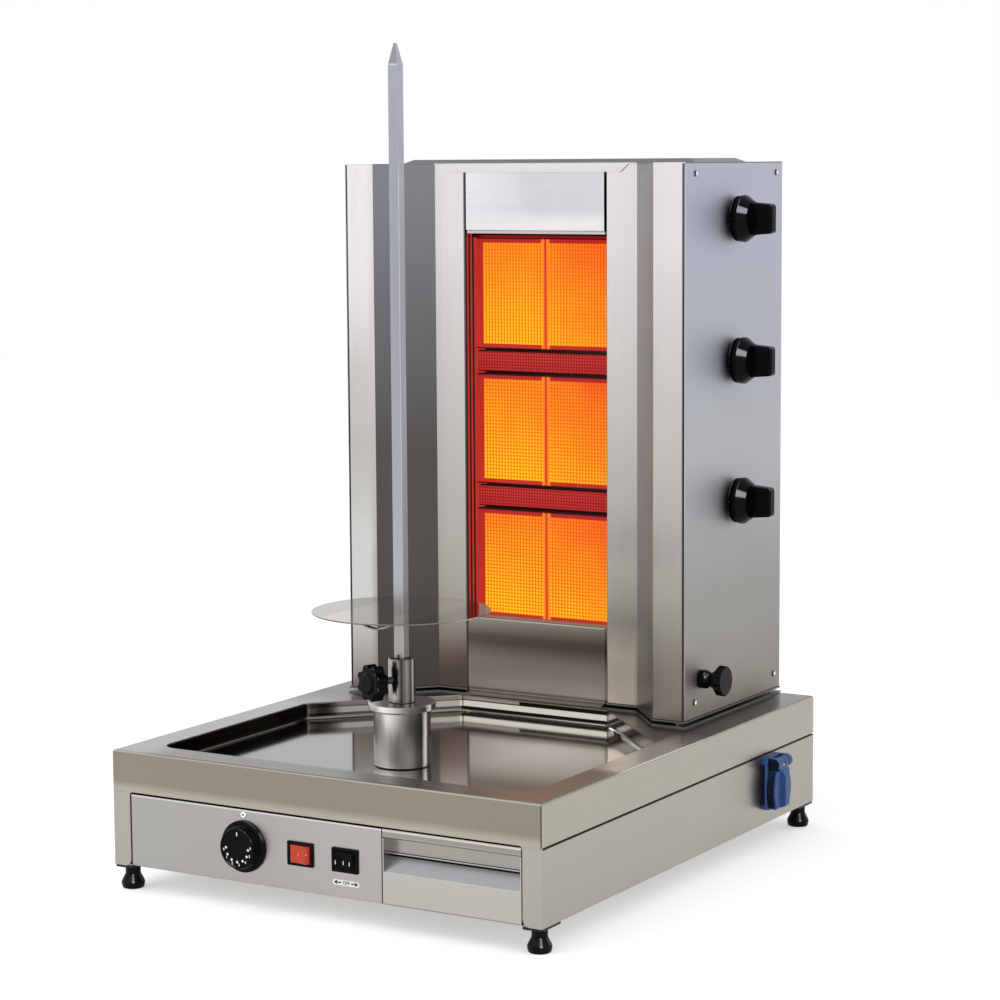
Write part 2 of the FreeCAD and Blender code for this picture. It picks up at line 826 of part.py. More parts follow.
def foot_plates():
    plates = []
    for sign_x in (-1, 1):
        for sign_y in (-1, 1):
            xs = sorted([sign_x * side, sign_x * (side - foot_plate_width)])
            ys = sorted([sign_y * back, sign_y * (back - foot_plate_depth)])
            plate = rounded_box(xs[0], xs[1], ys[0], ys[1], foot_height - foot_plate_thickness, foot_height, 3.0, "XY")
            stud_room = cylinder(stud_radius + stud_clearance, vec(sign_x * foot_x, sign_y * foot_y, 0), vec(0, 0, 1),
                                 2 * foot_height)
            nut = hexagon(nut_radius, sign_x * foot_x, sign_y * foot_y, foot_height + sheet, nut_height)
            plates.append(cut(plate, [stud_room]))
            plates.append(cut(nut, [stud_room]))
    return Part.makeCompound(plates)


def motor_bracket():
    low = base_bottom + sheet
    chain = [(-bracket_half - bracket_foot, low), (-bracket_half, low), (-bracket_half, bracket_top - bracket_sheet),
             (bracket_half, bracket_top - bracket_sheet), (bracket_half, low), (bracket_half + bracket_foot, low)]
    hat = folded(chain, bracket_sheet, "XZ", spit_y - gearbox_depth / 2 - 8, spit_y + gearbox_depth / 2 + 8)
    hole = cylinder(boss_radius + 1.0, vec(0, spit_y, bracket_top - bracket_sheet), vec(0, 0, 1), bracket_sheet)
    return cut(hat, [hole])


def gearbox():
    half = gearbox_width / 2
    depth = gearbox_depth / 2
    block = rounded_box(-half, half, spit_y - depth, spit_y + depth, gearbox_top - gearbox_height, gearbox_top,
                        gearbox_edge, "XY")
    boss = cylinder(boss_radius, vec(0, spit_y, gearbox_top), vec(0, 0, 1), bracket_sheet + boss_height)
    bore = cylinder(shaft_radius + running_fit, vec(0, spit_y, gearbox_top - 20.0), vec(0, 0, 1), 40.0)
    ribs = [box(-half - 2.0, half + 2.0, spit_y + y - 1.5, spit_y + y + 1.5,
                gearbox_top - gearbox_height + 6.0, gearbox_top - 8.0) for y in (-18.0, 0.0, 18.0)]
    return cut(fuse([block, boss] + ribs), [bore])


def drive_motor():
    start = vec(0, spit_y + gearbox_depth / 2, gearbox_top - gearbox_height / 2 - motor_drop)
    profile = [(0, 0), (motor_radius - 6.0, 0), (motor_radius - 6.0, 4.0), (motor_radius, 4.0),
               (motor_radius, motor_length), (0, motor_length)]
    return turned(profile, [0, 0, 0, 2.0, 3.0, 0], start, vec(0, 1, 0))


def pedestal():
    tube = cylinder(pedestal_radius, vec(0, spit_y, pan_floor), vec(0, 0, 1), pedestal_height)
    bore = cylinder(pedestal_radius - pedestal_wall, vec(0, spit_y, pan_floor + pedestal_wall), vec(0, 0, 1), pedestal_height)
    hole = cylinder(pedestal_hole, vec(0, spit_y, pan_floor), vec(0, 0, 1), pedestal_wall)
    groove_z = pan_floor + pedestal_groove_lift
    neck = pedestal_radius - pedestal_groove_depth
    groove = cut(cylinder(pedestal_radius + 1.0, vec(0, spit_y, groove_z), vec(0, 0, 1), pedestal_groove),
                 [cylinder(neck, vec(0, spit_y, groove_z), vec(0, 0, 1), pedestal_groove)])
    return cut(tube, [bore, hole, groove])


def pedestal_cap():
    bore = pedestal_radius - pedestal_wall
    under = cap_top - cap_height
    profile = [(bush_radius, under - cap_plug), (bore - body_gap / 2, under - cap_plug), (bore - body_gap / 2, under),
               (pedestal_radius + 1.0, under), (cap_radius, under + cap_height - cap_edge),
               (cap_radius, cap_top), (bush_radius, cap_top)]
    return turned(profile, [0, 0, 0, 0, 1.0, 1.0, 0], vec(0, spit_y, 0), vec(0, 0, 1))


def shaft_bush():
    inner = shaft_radius + running_fit
    low = cap_top - bush_length
    profile = [(inner, low), (bush_radius, low), (bush_radius, cap_top), (bush_flange_radius, cap_top),
               (bush_flange_radius, cap_top + bush_flange), (inner, cap_top + bush_flange)]
    return turned(profile, [0, 0.5, 0, 0, 0.4, 0], vec(0, spit_y, 0), vec(0, 0, 1))


def output_shaft():
    low = gearbox_top - 20.0 + body_gap
    length = sleeve_bottom + sleeve_grip - low
    shaft = cylinder(shaft_radius, vec(0, spit_y, low), vec(0, 0, 1), length)
    return shaft


def clamp_direction():
    angle = math.radians(clamp_angle)
    return vec(-math.sin(angle), -math.cos(angle), 0)


def along_clamp(distance):
    return vec(0, spit_y, clamp_z).add(clamp_direction().multiply(distance))


def spit_sleeve():
    body = cylinder(sleeve_radius, vec(0, spit_y, sleeve_bottom), vec(0, 0, 1), sleeve_height)
    body = soften(body, 1.0, lambda e: flat_at(e, "z", sleeve_top))
    tools = [cylinder(shaft_radius, vec(0, spit_y, sleeve_bottom), vec(0, 0, 1), sleeve_grip),
             cylinder(tang_radius + 2 * running_fit, vec(0, spit_y, socket_floor), vec(0, 0, 1), sleeve_height),
             cylinder(sleeve_mouth_radius, vec(0, spit_y, sleeve_top - sleeve_mouth_depth), vec(0, 0, 1), sleeve_mouth_depth),
             cylinder(clamp_screw_radius + running_fit, along_clamp(0), clamp_direction(), sleeve_radius + 1.0)]
    return cut(body, tools)


def clamp_screw():
    tip = tang_radius + 2 * running_fit + body_gap
    screw = cylinder(clamp_screw_radius, along_clamp(tip), clamp_direction(), clamp_reach + 8.0 - tip)
    return screw


def clamp_knob():
    disc = star(star_lobes, star_radius, star_valley, along_clamp(clamp_reach), clamp_direction(), star_thickness)
    disc = soften(disc, star_edge, lambda e: e.Length > 2.0 and abs(e.CenterOfMass.sub(along_clamp(0)).dot(clamp_direction())
                                                             - clamp_reach - star_thickness) < 1e-3)
    boss = cylinder(star_boss_radius, along_clamp(clamp_reach - star_boss), clamp_direction(), star_boss)
    hub_profile = [(0, 0), (star_hub_radius, 0), (star_boss_radius, star_hub), (0, star_hub)]
    hub = turned(hub_profile, [0, 0, 1.5, 0], along_clamp(clamp_reach + star_thickness), clamp_direction())
    bore = cylinder(clamp_screw_radius, along_clamp(clamp_reach - star_boss), clamp_direction(), star_boss + 8.0)
    return cut(fuse([disc, boss, hub]), [bore])


def spit_rod():
    half = spit_side / 2
    tang = cylinder(tang_radius, vec(0, spit_y, socket_floor + body_gap), vec(0, 0, 1),
                    spit_shoulder - socket_floor - body_gap)
    tip_base = spit_top - spit_point
    bar = rounded_box(-half, half, spit_y - half, spit_y + half, spit_shoulder, tip_base, 0.6, "XY")
    tip_half = spit_point_side / 2
    side_view = [(-half, tip_base), (half, tip_base), (tip_half, spit_top), (-tip_half, spit_top)]
    point = prism(side_view, [0] * 4, "XZ", spit_y - half, spit_y + half)
    point = point.common(prism([(spit_y + u, v) for u, v in side_view], [0] * 4, "YZ", -half, half))
    pin_hole = cylinder(pin_hole_radius, vec(0, spit_y - half, sleeve_top + pin_hole_lift), vec(0, 1, 0), spit_side)
    return cut(fuse([tang, bar, point]), [pin_hole])


def meat_disc():
    low = disc_height - disc_thickness / 2
    plate = cylinder(disc_radius, vec(0, spit_y, low), vec(0, 0, 1), disc_thickness)
    plate = soften(plate, disc_thickness / 3, lambda e: e.BoundBox.XLength > disc_radius)
    collar = cylinder(collar_radius, vec(0, spit_y, low - collar_height), vec(0, 0, 1), collar_height)
    half = spit_side / 2 + body_gap
    square = box(-half, half, spit_y - half, spit_y + half, low - collar_height, low + disc_thickness)
    grub_z = low - collar_height / 2
    grub_hole = cylinder(grub_radius, vec(0, spit_y, grub_z), vec(0, -1, 0), collar_radius)
    grub = cylinder(grub_radius, vec(0, spit_y - half, grub_z), vec(0, -1, 0), collar_radius - half - 0.5)
    disc = cut(fuse([plate, collar]), [square, grub_hole])
    reach = disc_radius - lug_depth - 1.0
    chord = lug_width / 2
    arch_out = Part.Arc(vec(-chord, -reach, low), vec(0, -reach, low - lug_sag), vec(chord, -reach, low)).toShape()
    arch_in = Part.Arc(vec(chord - thin_sheet * 2, -reach, low), vec(0, -reach, low - lug_sag + thin_sheet),
                       vec(thin_sheet * 2 - chord, -reach, low)).toShape()
    ends = [Part.makeLine(vec(chord, -reach, low), vec(chord - thin_sheet * 2, -reach, low)),
            Part.makeLine(vec(thin_sheet * 2 - chord, -reach, low), vec(-chord, -reach, low))]
    lug = Part.Face(Part.Wire([arch_out, ends[0], arch_in, ends[1]])).extrude(vec(0, -lug_depth, 0))
    lug.rotate(vec(0, 0, 0), vec(0, 0, 1), lug_angle)
    lug.translate(vec(0, spit_y, 0))
    return Part.makeCompound([fuse([disc, lug]), grub])


def hinge_place():
    return side + socket_plate + body_gap + hinge_radius, socket_z + socket_height / 2 - hinge_ear_radius - hinge_drop


def power_socket():
    half = socket_width / 2
    face = side + socket_plate
    plate = rounded_box(side, face, socket_y - half, socket_y + half,
                        socket_z - socket_height / 2, socket_z + socket_height / 2, socket_corner, "YZ")
    plate = soften(plate, socket_edge, lambda e: flat_at(e, "x", face))
    well_start = face - socket_well
    barrel = cylinder(socket_body_radius, vec(face - socket_body_depth, socket_y, well_z), vec(1, 0, 0),
                      socket_body_depth - socket_plate)
    well = cylinder(socket_well_radius, vec(well_start, socket_y, well_z), vec(1, 0, 0), socket_well)
    contacts = [cylinder(contact_radius, vec(well_start - contact_depth, socket_y + y, well_z), vec(1, 0, 0), contact_depth)
                for y in (-contact_spacing, contact_spacing)]
    hinge_x, hinge_z = hinge_place()
    ears = []
    for sign in (-1, 1):
        start = socket_y + sign * (hinge_length / 2 + body_gap)
        ear = cylinder(hinge_ear_radius, vec(hinge_x, start, hinge_z), vec(0, sign, 0), hinge_ear)
        ys = sorted([start, start + sign * hinge_ear])
        web = box(side + socket_plate / 2, hinge_x, ys[0], ys[1], hinge_z - hinge_ear_radius, hinge_z + hinge_ear_radius)
        ears.append(fuse([ear, web]))
    pin_length = hinge_length + 2 * body_gap + 2 * hinge_ear
    pin_start = vec(hinge_x, socket_y - pin_length / 2, hinge_z)
    pin = cylinder(hinge_pin_radius, pin_start, vec(0, 1, 0), pin_length)
    body = cut(fuse([plate, barrel] + ears), [well, pin] + contacts)
    return Part.makeCompound([body, pin])


# Sprung lid: barrel-shaped cover with a grip ridge, a strap up to the hinge and a hollow over the well
def socket_lid():
    rim = side + socket_plate + body_gap
    hinge_x, hinge_z = hinge_place()
    lid_top = hinge_z - hinge_ear_radius - 2 * body_gap
    low = well_z - lid_fall
    outer = rim + lid_thickness
    plan = [(socket_y - lid_foot, low), (socket_y + lid_foot, low), (socket_y + lid_waist, well_z),
            (socket_y + lid_shoulder, lid_top), (socket_y - lid_shoulder, lid_top), (socket_y - lid_waist, well_z)]
    cover = prism(plan, [3.0, 3.0, 26.0, 2.0, 2.0, 26.0], "YZ", rim, outer)
    cover = soften(cover, lid_edge, lambda e: flat_at(e, "x", outer))
    half = hinge_length / 2
    strap = box(rim, outer, socket_y - half, socket_y + half, lid_top - lid_rise / 2, hinge_z)
    barrel = cylinder(hinge_radius, vec(hinge_x, socket_y - half, hinge_z), vec(0, 1, 0), hinge_length)
    crest = outer + lid_ridge
    ridge = prism([(outer - lid_edge, socket_y - lid_ridge_root / 2), (crest, socket_y - lid_ridge_top / 2),
                   (crest, socket_y + lid_ridge_top / 2), (outer - lid_edge, socket_y + lid_ridge_root / 2)],
                  [0, 1.0, 1.0, 0], "XY", low, lid_top)
    ridge = ridge.common(prism([(outer - lid_edge, low + body_gap), (crest, low + lid_edge), (crest, lid_top - lid_ridge_slope),
                                (outer, lid_top), (outer - lid_edge, lid_top)], [0, 2.0, 2.0, 0, 0], "XZ",
                               socket_y - lid_ridge_root, socket_y + lid_ridge_root))
    rivet = cylinder(rivet_radius, vec(hinge_x, socket_y, hinge_z), vec(1, 0, 0), hinge_radius + rivet_height)
    hollow = cylinder(lid_hollow_radius, vec(rim, socket_y, well_z), vec(1, 0, 0), lid_hollow)
    bore = cylinder(hinge_pin_radius + running_fit, vec(hinge_x, socket_y - half, hinge_z), vec(0, 1, 0), hinge_length)
    return cut(fuse([cover, strap, barrel, ridge, rivet]), [hollow, bore])


def slide_base():
    plan = tower_plan(-slide_margin)
    plate = prism(plan, [0] * len(plan), "XY", deck, slide_top)
    parts = [plate]
    for sign in (-1, 1):
        xs = sorted([sign * slide_rib_x, sign * (slide_rib_x + slide_rib_width)])
        parts.append(box(xs[0], xs[1], recess_y, tower_back - slide_travel / 6, slide_top, slide_top + slide_rib))
    parts.append(box(bracket_face - lock_bracket, bracket_face, bracket_front, bracket_back,
                     slide_top, lock_z + lock_bracket_margin))
    return fuse(parts)


def tower_lock():
    start = tower_half + body_gap
    neck_end = lock_length - lock_head
    head_start = start + neck_end
    stem = turned([(0, 0), (lock_foot_radius, 0), (lock_foot_radius, lock_foot), (lock_waist_radius, lock_waist),
                   (lock_head_valley - lock_edge, neck_end), (0, neck_end)], [0, 0.8, 4.0, 4.0, 0, 0],
                  vec(start, lock_y, lock_z), vec(1, 0, 0))
    head = star(lock_flutes, lock_head_radius, lock_head_valley, vec(head_start, lock_y, lock_z), vec(1, 0, 0), lock_head)
    dome = turned([(0, 0), (lock_head_radius - lock_edge, 0), (lock_head_radius, lock_edge),
                   (lock_head_radius, lock_head - lock_edge), (lock_head_radius - lock_edge, lock_head), (0, lock_head)],
                  [0, 0, 0, 0, 0, 0], vec(head_start, lock_y, lock_z), vec(1, 0, 0))
    screw_start = bracket_face + body_gap
    screw = cylinder(stud_radius, vec(screw_start, lock_y, lock_z), vec(1, 0, 0), start - screw_start)
    return Part.makeCompound([fuse([stem, head.common(dome)]), screw])


def tower_base():
    plan = tower_plan(-tower_floor_margin)
    plate = prism(plan, [0] * len(plan), "XY", floor_bottom, floor_top)
    fascia_room = box(-window_half, window_half, tower_front, recess_y + thin_sheet + body_gap, floor_bottom, floor_top)
    slot = box(bracket_face - lock_bracket - slot_room, bracket_face + slot_room, bracket_front - body_gap,
               bracket_back + slide_travel + slot_room, floor_bottom, floor_top)
    keys = []
    for sign in (-1, 1):
        start = slide_rib_x + slide_rib_width + body_gap
        xs = sorted([sign * start, sign * (start + 3.0)])
        keys.append(box(xs[0], xs[1], recess_y, tower_back - slide_travel / 6,
                        slide_top + body_gap, floor_bottom))
    shoes = []
    shoe_low = slide_top + slide_rib + body_gap
    for sign in (-1, 1):
        xs = sorted([sign * slide_rib_x, sign * (slide_rib_x + slide_rib_width)])
        shoes.append(box(xs[0], xs[1], recess_y, tower_back - slide_travel / 6, shoe_low, floor_bottom))
    return cut(fuse([plate] + keys + shoes), [fascia_room, slot])


def cheek():
    outer = panel_inner - cheek_seam
    chain = [(outer, tower_front + cheek_return), (outer, tower_front), (pillar_inner, tower_front),
             (recess_half, recess_y), (window_half, recess_y), (window_half, recess_y + reveal_depth)]
    return folded(chain, -thin_sheet, "XY", tower_bottom, tower_top - thin_sheet)


def side_panel():
    inner = panel_inner
    near = tower_front + cheek_seam / 2
    panel = box(inner, tower_half, near, tower_back, tower_bottom, tower_top - thin_sheet)
    return soften(panel, thin_sheet * 0.75, lambda e: flat_at(e, "y", near) and flat_at(e, "x", tower_half))


def side_panel_right():
    holes = [cylinder(stem_radius * 1.5, vec(panel_inner, knob_y, z + knob_lift), vec(1, 0, 0), thin_sheet)
             for z in burner_centres]
    nut = cylinder(lock_nut_radius, vec(panel_inner - lock_nut, lock_y, lock_z), vec(1, 0, 0), lock_nut)
    thread = cylinder(stud_radius + running_fit, vec(panel_inner - lock_nut, lock_y, lock_z), vec(1, 0, 0),
                      lock_nut + thin_sheet)
    return cut(fuse([side_panel(), nut]), holes + [thread])


def rear_panel():
    half = panel_inner - body_gap
    panel = box(-half, half, tower_back - thin_sheet, tower_back, tower_bottom, tower_top - thin_sheet)
    slots = []
    for column in (-1, 0, 1):
        for row in range(louvre_rows):
            x = column * louvre_length * 1.5
            z = tower_top - 60.0 - row * louvre_pitch
            slots.append(rounded_box(x - louvre_length / 2, x + louvre_length / 2, tower_back - thin_sheet, tower_back,
                                     z - louvre_slot / 2, z + louvre_slot / 2, louvre_slot * 0.49, "XZ"))
    inlet = cylinder(inlet_radius + body_gap, vec(manifold_x, tower_back - thin_sheet, manifold_bottom), vec(0, 1, 0), thin_sheet)
    return cut(panel, slots + [inlet])


def roof():
    flap_line = recess_y - roof_flap_proud
    plan = [(x, flap_line if abs(y - recess_y) < 1e-6 else y) for x, y in tower_plan(0)]
    low = tower_top - thin_sheet
    plate = prism(plan, [0] * len(plan), "XY", low, tower_top)
    flap_points = [(-roof_flap_half, tower_top), (roof_flap_mitre - roof_flap_half, tower_top - roof_flap),
                   (roof_flap_half - roof_flap_mitre, tower_top - roof_flap), (roof_flap_half, tower_top)]
    flap = prism(flap_points, [0, 0, 0, 0], "XZ", flap_line, recess_y - body_gap)
    half = tower_half - roof_cap_inset

    def ring(shrink, z):
        corners = [(-half + shrink, roof_cap_front + shrink), (half - shrink, roof_cap_front + shrink),
                   (half - shrink, roof_cap_back - shrink), (-half + shrink, roof_cap_back - shrink)]
        return Part.makePolygon([vec(x, y, z) for x, y in corners + corners[:1]])

    cap = Part.makeLoft([ring(0, tower_top), ring(roof_cap_slope, tower_top + roof_cap_height)], True, True)
    hollow = Part.makeLoft([ring(thin_sheet, low), ring(roof_cap_slope + thin_sheet, tower_top + roof_cap_height - thin_sheet)],
                           True, True)
    return cut(fuse([plate, flap, cap]), [hollow])


def upper_fascia():
    half = window_half - fascia_slit
    behind = recess_y + fascia_return
    top = tower_top - thin_sheet
    chain = [(behind, top), (recess_y, top), (recess_y, upper_fascia_bottom), (behind, upper_fascia_bottom)]
    panel = folded(chain, thin_sheet, "YZ", -half, half)
    hem_y = recess_y + 2 * thin_sheet
    hem = box(-half, half, hem_y, hem_y + thin_sheet, upper_fascia_bottom - fascia_hem, upper_fascia_bottom + thin_sheet)
    screen = box(-window_half + body_gap, window_half - body_gap, behind - thin_sheet, behind,
                 burner_centres[-1] + frame_height / 2 + body_gap, top)
    return fuse([panel, hem, screen])


def lower_fascia():
    half = window_half - fascia_slit
    behind = recess_y + fascia_return
    low = floor_bottom - thin_sheet
    chain = [(behind, lower_fascia_top), (recess_y, lower_fascia_top), (recess_y, low + drip_lip_drop),
             (recess_y - drip_lip, low - 0.4)]
    panel = folded(chain, thin_sheet, "YZ", -half, half)
    backing = box(-half, half, recess_y + thin_sheet, behind, floor_top, floor_top + thin_sheet)
    ends = [box(-window_half + body_gap, -half, recess_y + thin_sheet, recess_y + 2 * thin_sheet, tower_bottom, lower_fascia_top),
            box(half, window_half - body_gap, recess_y + thin_sheet, recess_y + 2 * thin_sheet, tower_bottom, lower_fascia_top)]
    tongue = box(-half, half, recess_y + thin_sheet, recess_y + 2 * thin_sheet, tower_bottom, lower_fascia_top - thin_sheet)
    return fuse([panel, backing, tongue] + ends)


def burner_frame(z):
    half_height = frame_height / 2
    near = tile_face_y - frame_sheet
    shell = box(-frame_half, frame_half, near, near + frame_wrap, z - half_height, z + half_height)
    hollow = box(-frame_half + frame_sheet, frame_half - frame_sheet, tile_face_y, near + frame_wrap,
                 z - half_height + frame_sheet, z + half_height - frame_sheet)
    windows = []
    for sign in (-1, 1):
        xs = sorted([sign * tile_divider / 2, sign * (tile_divider / 2 + tile_window_width)])
        windows.append(box(xs[0], xs[1], near, tile_face_y, z - tile_window_height / 2, z + tile_window_height / 2))
    return cut(shell, [hollow] + windows)


# Wires in front of one burner: flat grid in each window, its ends on the frame
def burner_mesh(z):
    wires = []
    near = tile_face_y - 2 * wire_thickness
    columns = round(tile_window_width / mesh_pitch)
    rows = round(tile_window_height / mesh_pitch)
    low = z - tile_window_height / 2
    for sign in (-1, 1):
        left, right = sorted([sign * tile_divider / 2, sign * (tile_divider / 2 + tile_window_width)])
        for n in range(1, columns):
            x = left + n * tile_window_width / columns
            wires.append(box(x - wire_thickness / 2, x + wire_thickness / 2, near + wire_thickness, tile_face_y,
                             low, low + tile_window_height))
        for n in range(1, rows):
            height = low + n * tile_window_height / rows
            wires.append(box(left, right, near, near + wire_thickness,
                             height - wire_thickness / 2, height + wire_thickness / 2))
    return wires


def burner_tiles(z):
    tiles = []
    for sign in (-1, 1):
        xs = sorted([sign * tile_joint / 2, sign * (tile_joint / 2 + tile_width)])
        tiles.append(box(xs[0], xs[1], tile_face_y, burner_back, z - tile_height / 2, z + tile_height / 2))
    return tiles


# Gas chamber behind the tiles with its mixing tube towards the valve
def burner_housing(z):
    half_height = frame_height / 2 - frame_sheet - body_gap

    def ring(shrink, y):
        corners = [(-housing_half + shrink, -half_height + shrink), (housing_half - shrink, -half_height + shrink),
                   (housing_half - shrink, half_height - shrink), (-housing_half + shrink, half_height - shrink)]
        return Part.makePolygon([vec(x, y, z + dz) for x, dz in corners + corners[:1]])

    rim = box(-housing_half, housing_half, burner_back, burner_back + 6.0, z - half_height, z + half_height)
    chamber = Part.makeLoft([ring(0, burner_back + 6.0), ring(housing_taper, burner_back + housing_depth)], True, True)
    mixer = cylinder(mixer_radius, vec(housing_half - 2 * housing_taper, knob_y, z), vec(1, 0, 0), mixer_reach)
    mouth = cylinder(injector_radius, vec(housing_half - 2 * housing_taper + mixer_reach - 10.0, knob_y, z), vec(1, 0, 0), 10.0)
    return cut(fuse([rim, chamber, mixer]), [mouth])


def baffle(z):
    half = baffle_height / 2
    near = tile_face_y + baffle_set_back
    chain = [(near + baffle_return, z + half), (near, z + half), (near, z - half), (near + baffle_return, z - half)]
    return folded(chain, thin_sheet, "YZ", -frame_half, frame_half)


def knob_bezel(z):
    profile = [(bezel_hole, 0), (bezel_foot_radius, 0), (bezel_radius, bezel_depth - bezel_rim),
               (bezel_radius, bezel_depth), (bezel_hole, bezel_depth)]
    return turned(profile, [0, 0, 0, 0.7, 0], vec(panel_face, knob_y, z), vec(1, 0, 0))


def stem_end():
    return panel_face + bezel_depth + knob_travel + body_gap + knob_bore_depth - body_gap


def valve_stem(z):
    start = panel_inner - stem_reach
    return cylinder(stem_radius, vec(start, knob_y, z), vec(1, 0, 0), stem_end() - start)


def gas_valve(z):
    nose = cylinder(valve_nose_radius, vec(panel_inner - stem_reach, knob_y, z), vec(1, 0, 0), stem_reach)
    body_end = panel_inner - stem_reach
    body = cylinder(valve_radius, vec(body_end - valve_length, knob_y, z), vec(1, 0, 0), valve_length)
    block = box(manifold_x - valve_radius, manifold_x + valve_radius, knob_y, manifold_y - manifold_radius,
                z - valve_radius, z + valve_radius)
    bore = cylinder(stem_radius + running_fit, vec(panel_inner - stem_reach - knob_travel - 2 * body_gap, knob_y, z),
                    vec(1, 0, 0), stem_reach + knob_travel + 2 * body_gap)
    return cut(fuse([nose, body, block]), [bore])


def gas_knob(z):
    start = panel_face + bezel_depth + knob_travel + body_gap
    profile = [(0, 0), (knob_radius, 0), (knob_radius, knob_flange), (knob_cone_end, knob_flange + knob_cone),
               (0, knob_flange + knob_cone)]
    base = turned(profile, [0, 0.6, 1.6, 0, 0], vec(start, knob_y, z), vec(1, 0, 0))
    root = knob_grip_height / 2
    end = knob_grip_end / 2
    half = knob_grip_thickness / 2
    points = [(start + knob_flange, z - root), (start + knob_length, z - end), (start + knob_length, z + end),
              (start + knob_flange, z + root)]
    grip = prism(points, [0, 4.0, 4.0, 0], "XZ", knob_y - half, knob_y + half)
    grip = soften(grip, 2.0, lambda e: (flat_at(e, "y", knob_y - half) or flat_at(e, "y", knob_y + half))
                  and e.BoundBox.XMax > start + knob_flange + 0.1)
    bore = cylinder(stem_radius + running_fit, vec(start, knob_y, z), vec(1, 0, 0), knob_bore_depth)
    pocket_start = start + knob_flange + knob_cone + knob_pocket_margin / 2
    pocket_end = start + knob_length - knob_pocket_margin
    pocket_half = end - knob_pocket_margin
    pockets = [box(pocket_start, pocket_end, knob_y - half, knob_y - half + knob_pocket, z - pocket_half, z + pocket_half),
               box(pocket_start, pocket_end, knob_y + half - knob_pocket, knob_y + half, z - pocket_half, z + pocket_half)]
    return cut(fuse([base, grip]), [bore] + pockets)


def gas_pipework():
    top = burner_centres[-1] + knob_lift + 20.0
    rear_stop = tower_back - inlet_hex_length
    riser = pipe([vec(manifold_x, manifold_y, top), vec(manifold_x, manifold_y, manifold_bottom),
                  vec(manifold_x, rear_stop, manifold_bottom)], manifold_radius, manifold_radius * 2)
    solids = [riser]
    valve_end = panel_inner - stem_reach - valve_length
    mouth_x = housing_half - 2 * housing_taper + mixer_reach
    for z in burner_centres:
        chain = [vec(valve_end, knob_y, z + knob_lift), vec(feed_x - feed_bend, knob_y, z + knob_lift),
                 vec(feed_x - feed_bend, knob_y, z), vec(mouth_x + injector_length, knob_y, z)]
        feed = pipe(chain, feed_radius, feed_bend * 0.8)
        injector = cylinder(injector_radius - body_gap, vec(mouth_x - 6.0, knob_y, z), vec(1, 0, 0), 6.0 + injector_length)
        solids.append(fuse([feed, injector]))
    return Part.makeCompound(solids)


def gas_inlet():
    start = tower_back - inlet_hex_length
    corners = [(manifold_x + inlet_hex * math.cos(math.radians(60 * n)), manifold_bottom + inlet_hex * math.sin(math.radians(60 * n)))
               for n in range(6)]
    backing_hex = prism(corners, [0] * 6, "XZ", start, tower_back - thin_sheet)
    neck = cylinder(inlet_radius - 1.0, vec(manifold_x, tower_back - thin_sheet, manifold_bottom), vec(0, 1, 0),
                    thin_sheet + body_gap)
    nipple = cylinder(inlet_radius, vec(manifold_x, tower_back + body_gap, manifold_bottom), vec(0, 1, 0),
                      inlet_length - body_gap)
    nipple = soften(nipple, inlet_edge, lambda e: flat_at(e, "y", tower_back + inlet_length))
    bore = cylinder(inlet_bore_radius, vec(manifold_x, start, manifold_bottom), vec(0, 1, 0), inlet_hex_length + inlet_length)
    return cut(fuse([backing_hex, neck, nipple]), [bore])


def tower_screws():
    screws = []
    for sign in (-1, 1):
        for y in (tower_front + screw_inset, tower_back - screw_rear_inset):
            for z in (tower_bottom + screw_bottom, tower_top - screw_top):
                profile = [(0, 0), (screw_radius, 0), (screw_radius * 0.7, screw_head), (0, screw_head)]
                screws.append(turned(profile, [0] * 4, vec(sign * tower_half, y, z), vec(sign, 0, 0)))
    return Part.makeCompound(screws)


def group(maker, places):
    solids = []
    for place in places:
        made = maker(place)
        solids.extend(made if isinstance(made, list) else [made])
    return Part.makeCompound(solids)


knob_heights = [z + knob_lift for z in burner_centres]
baffle_heights = [(low + high) / 2 for low, high in zip(burner_centres, burner_centres[1:])]

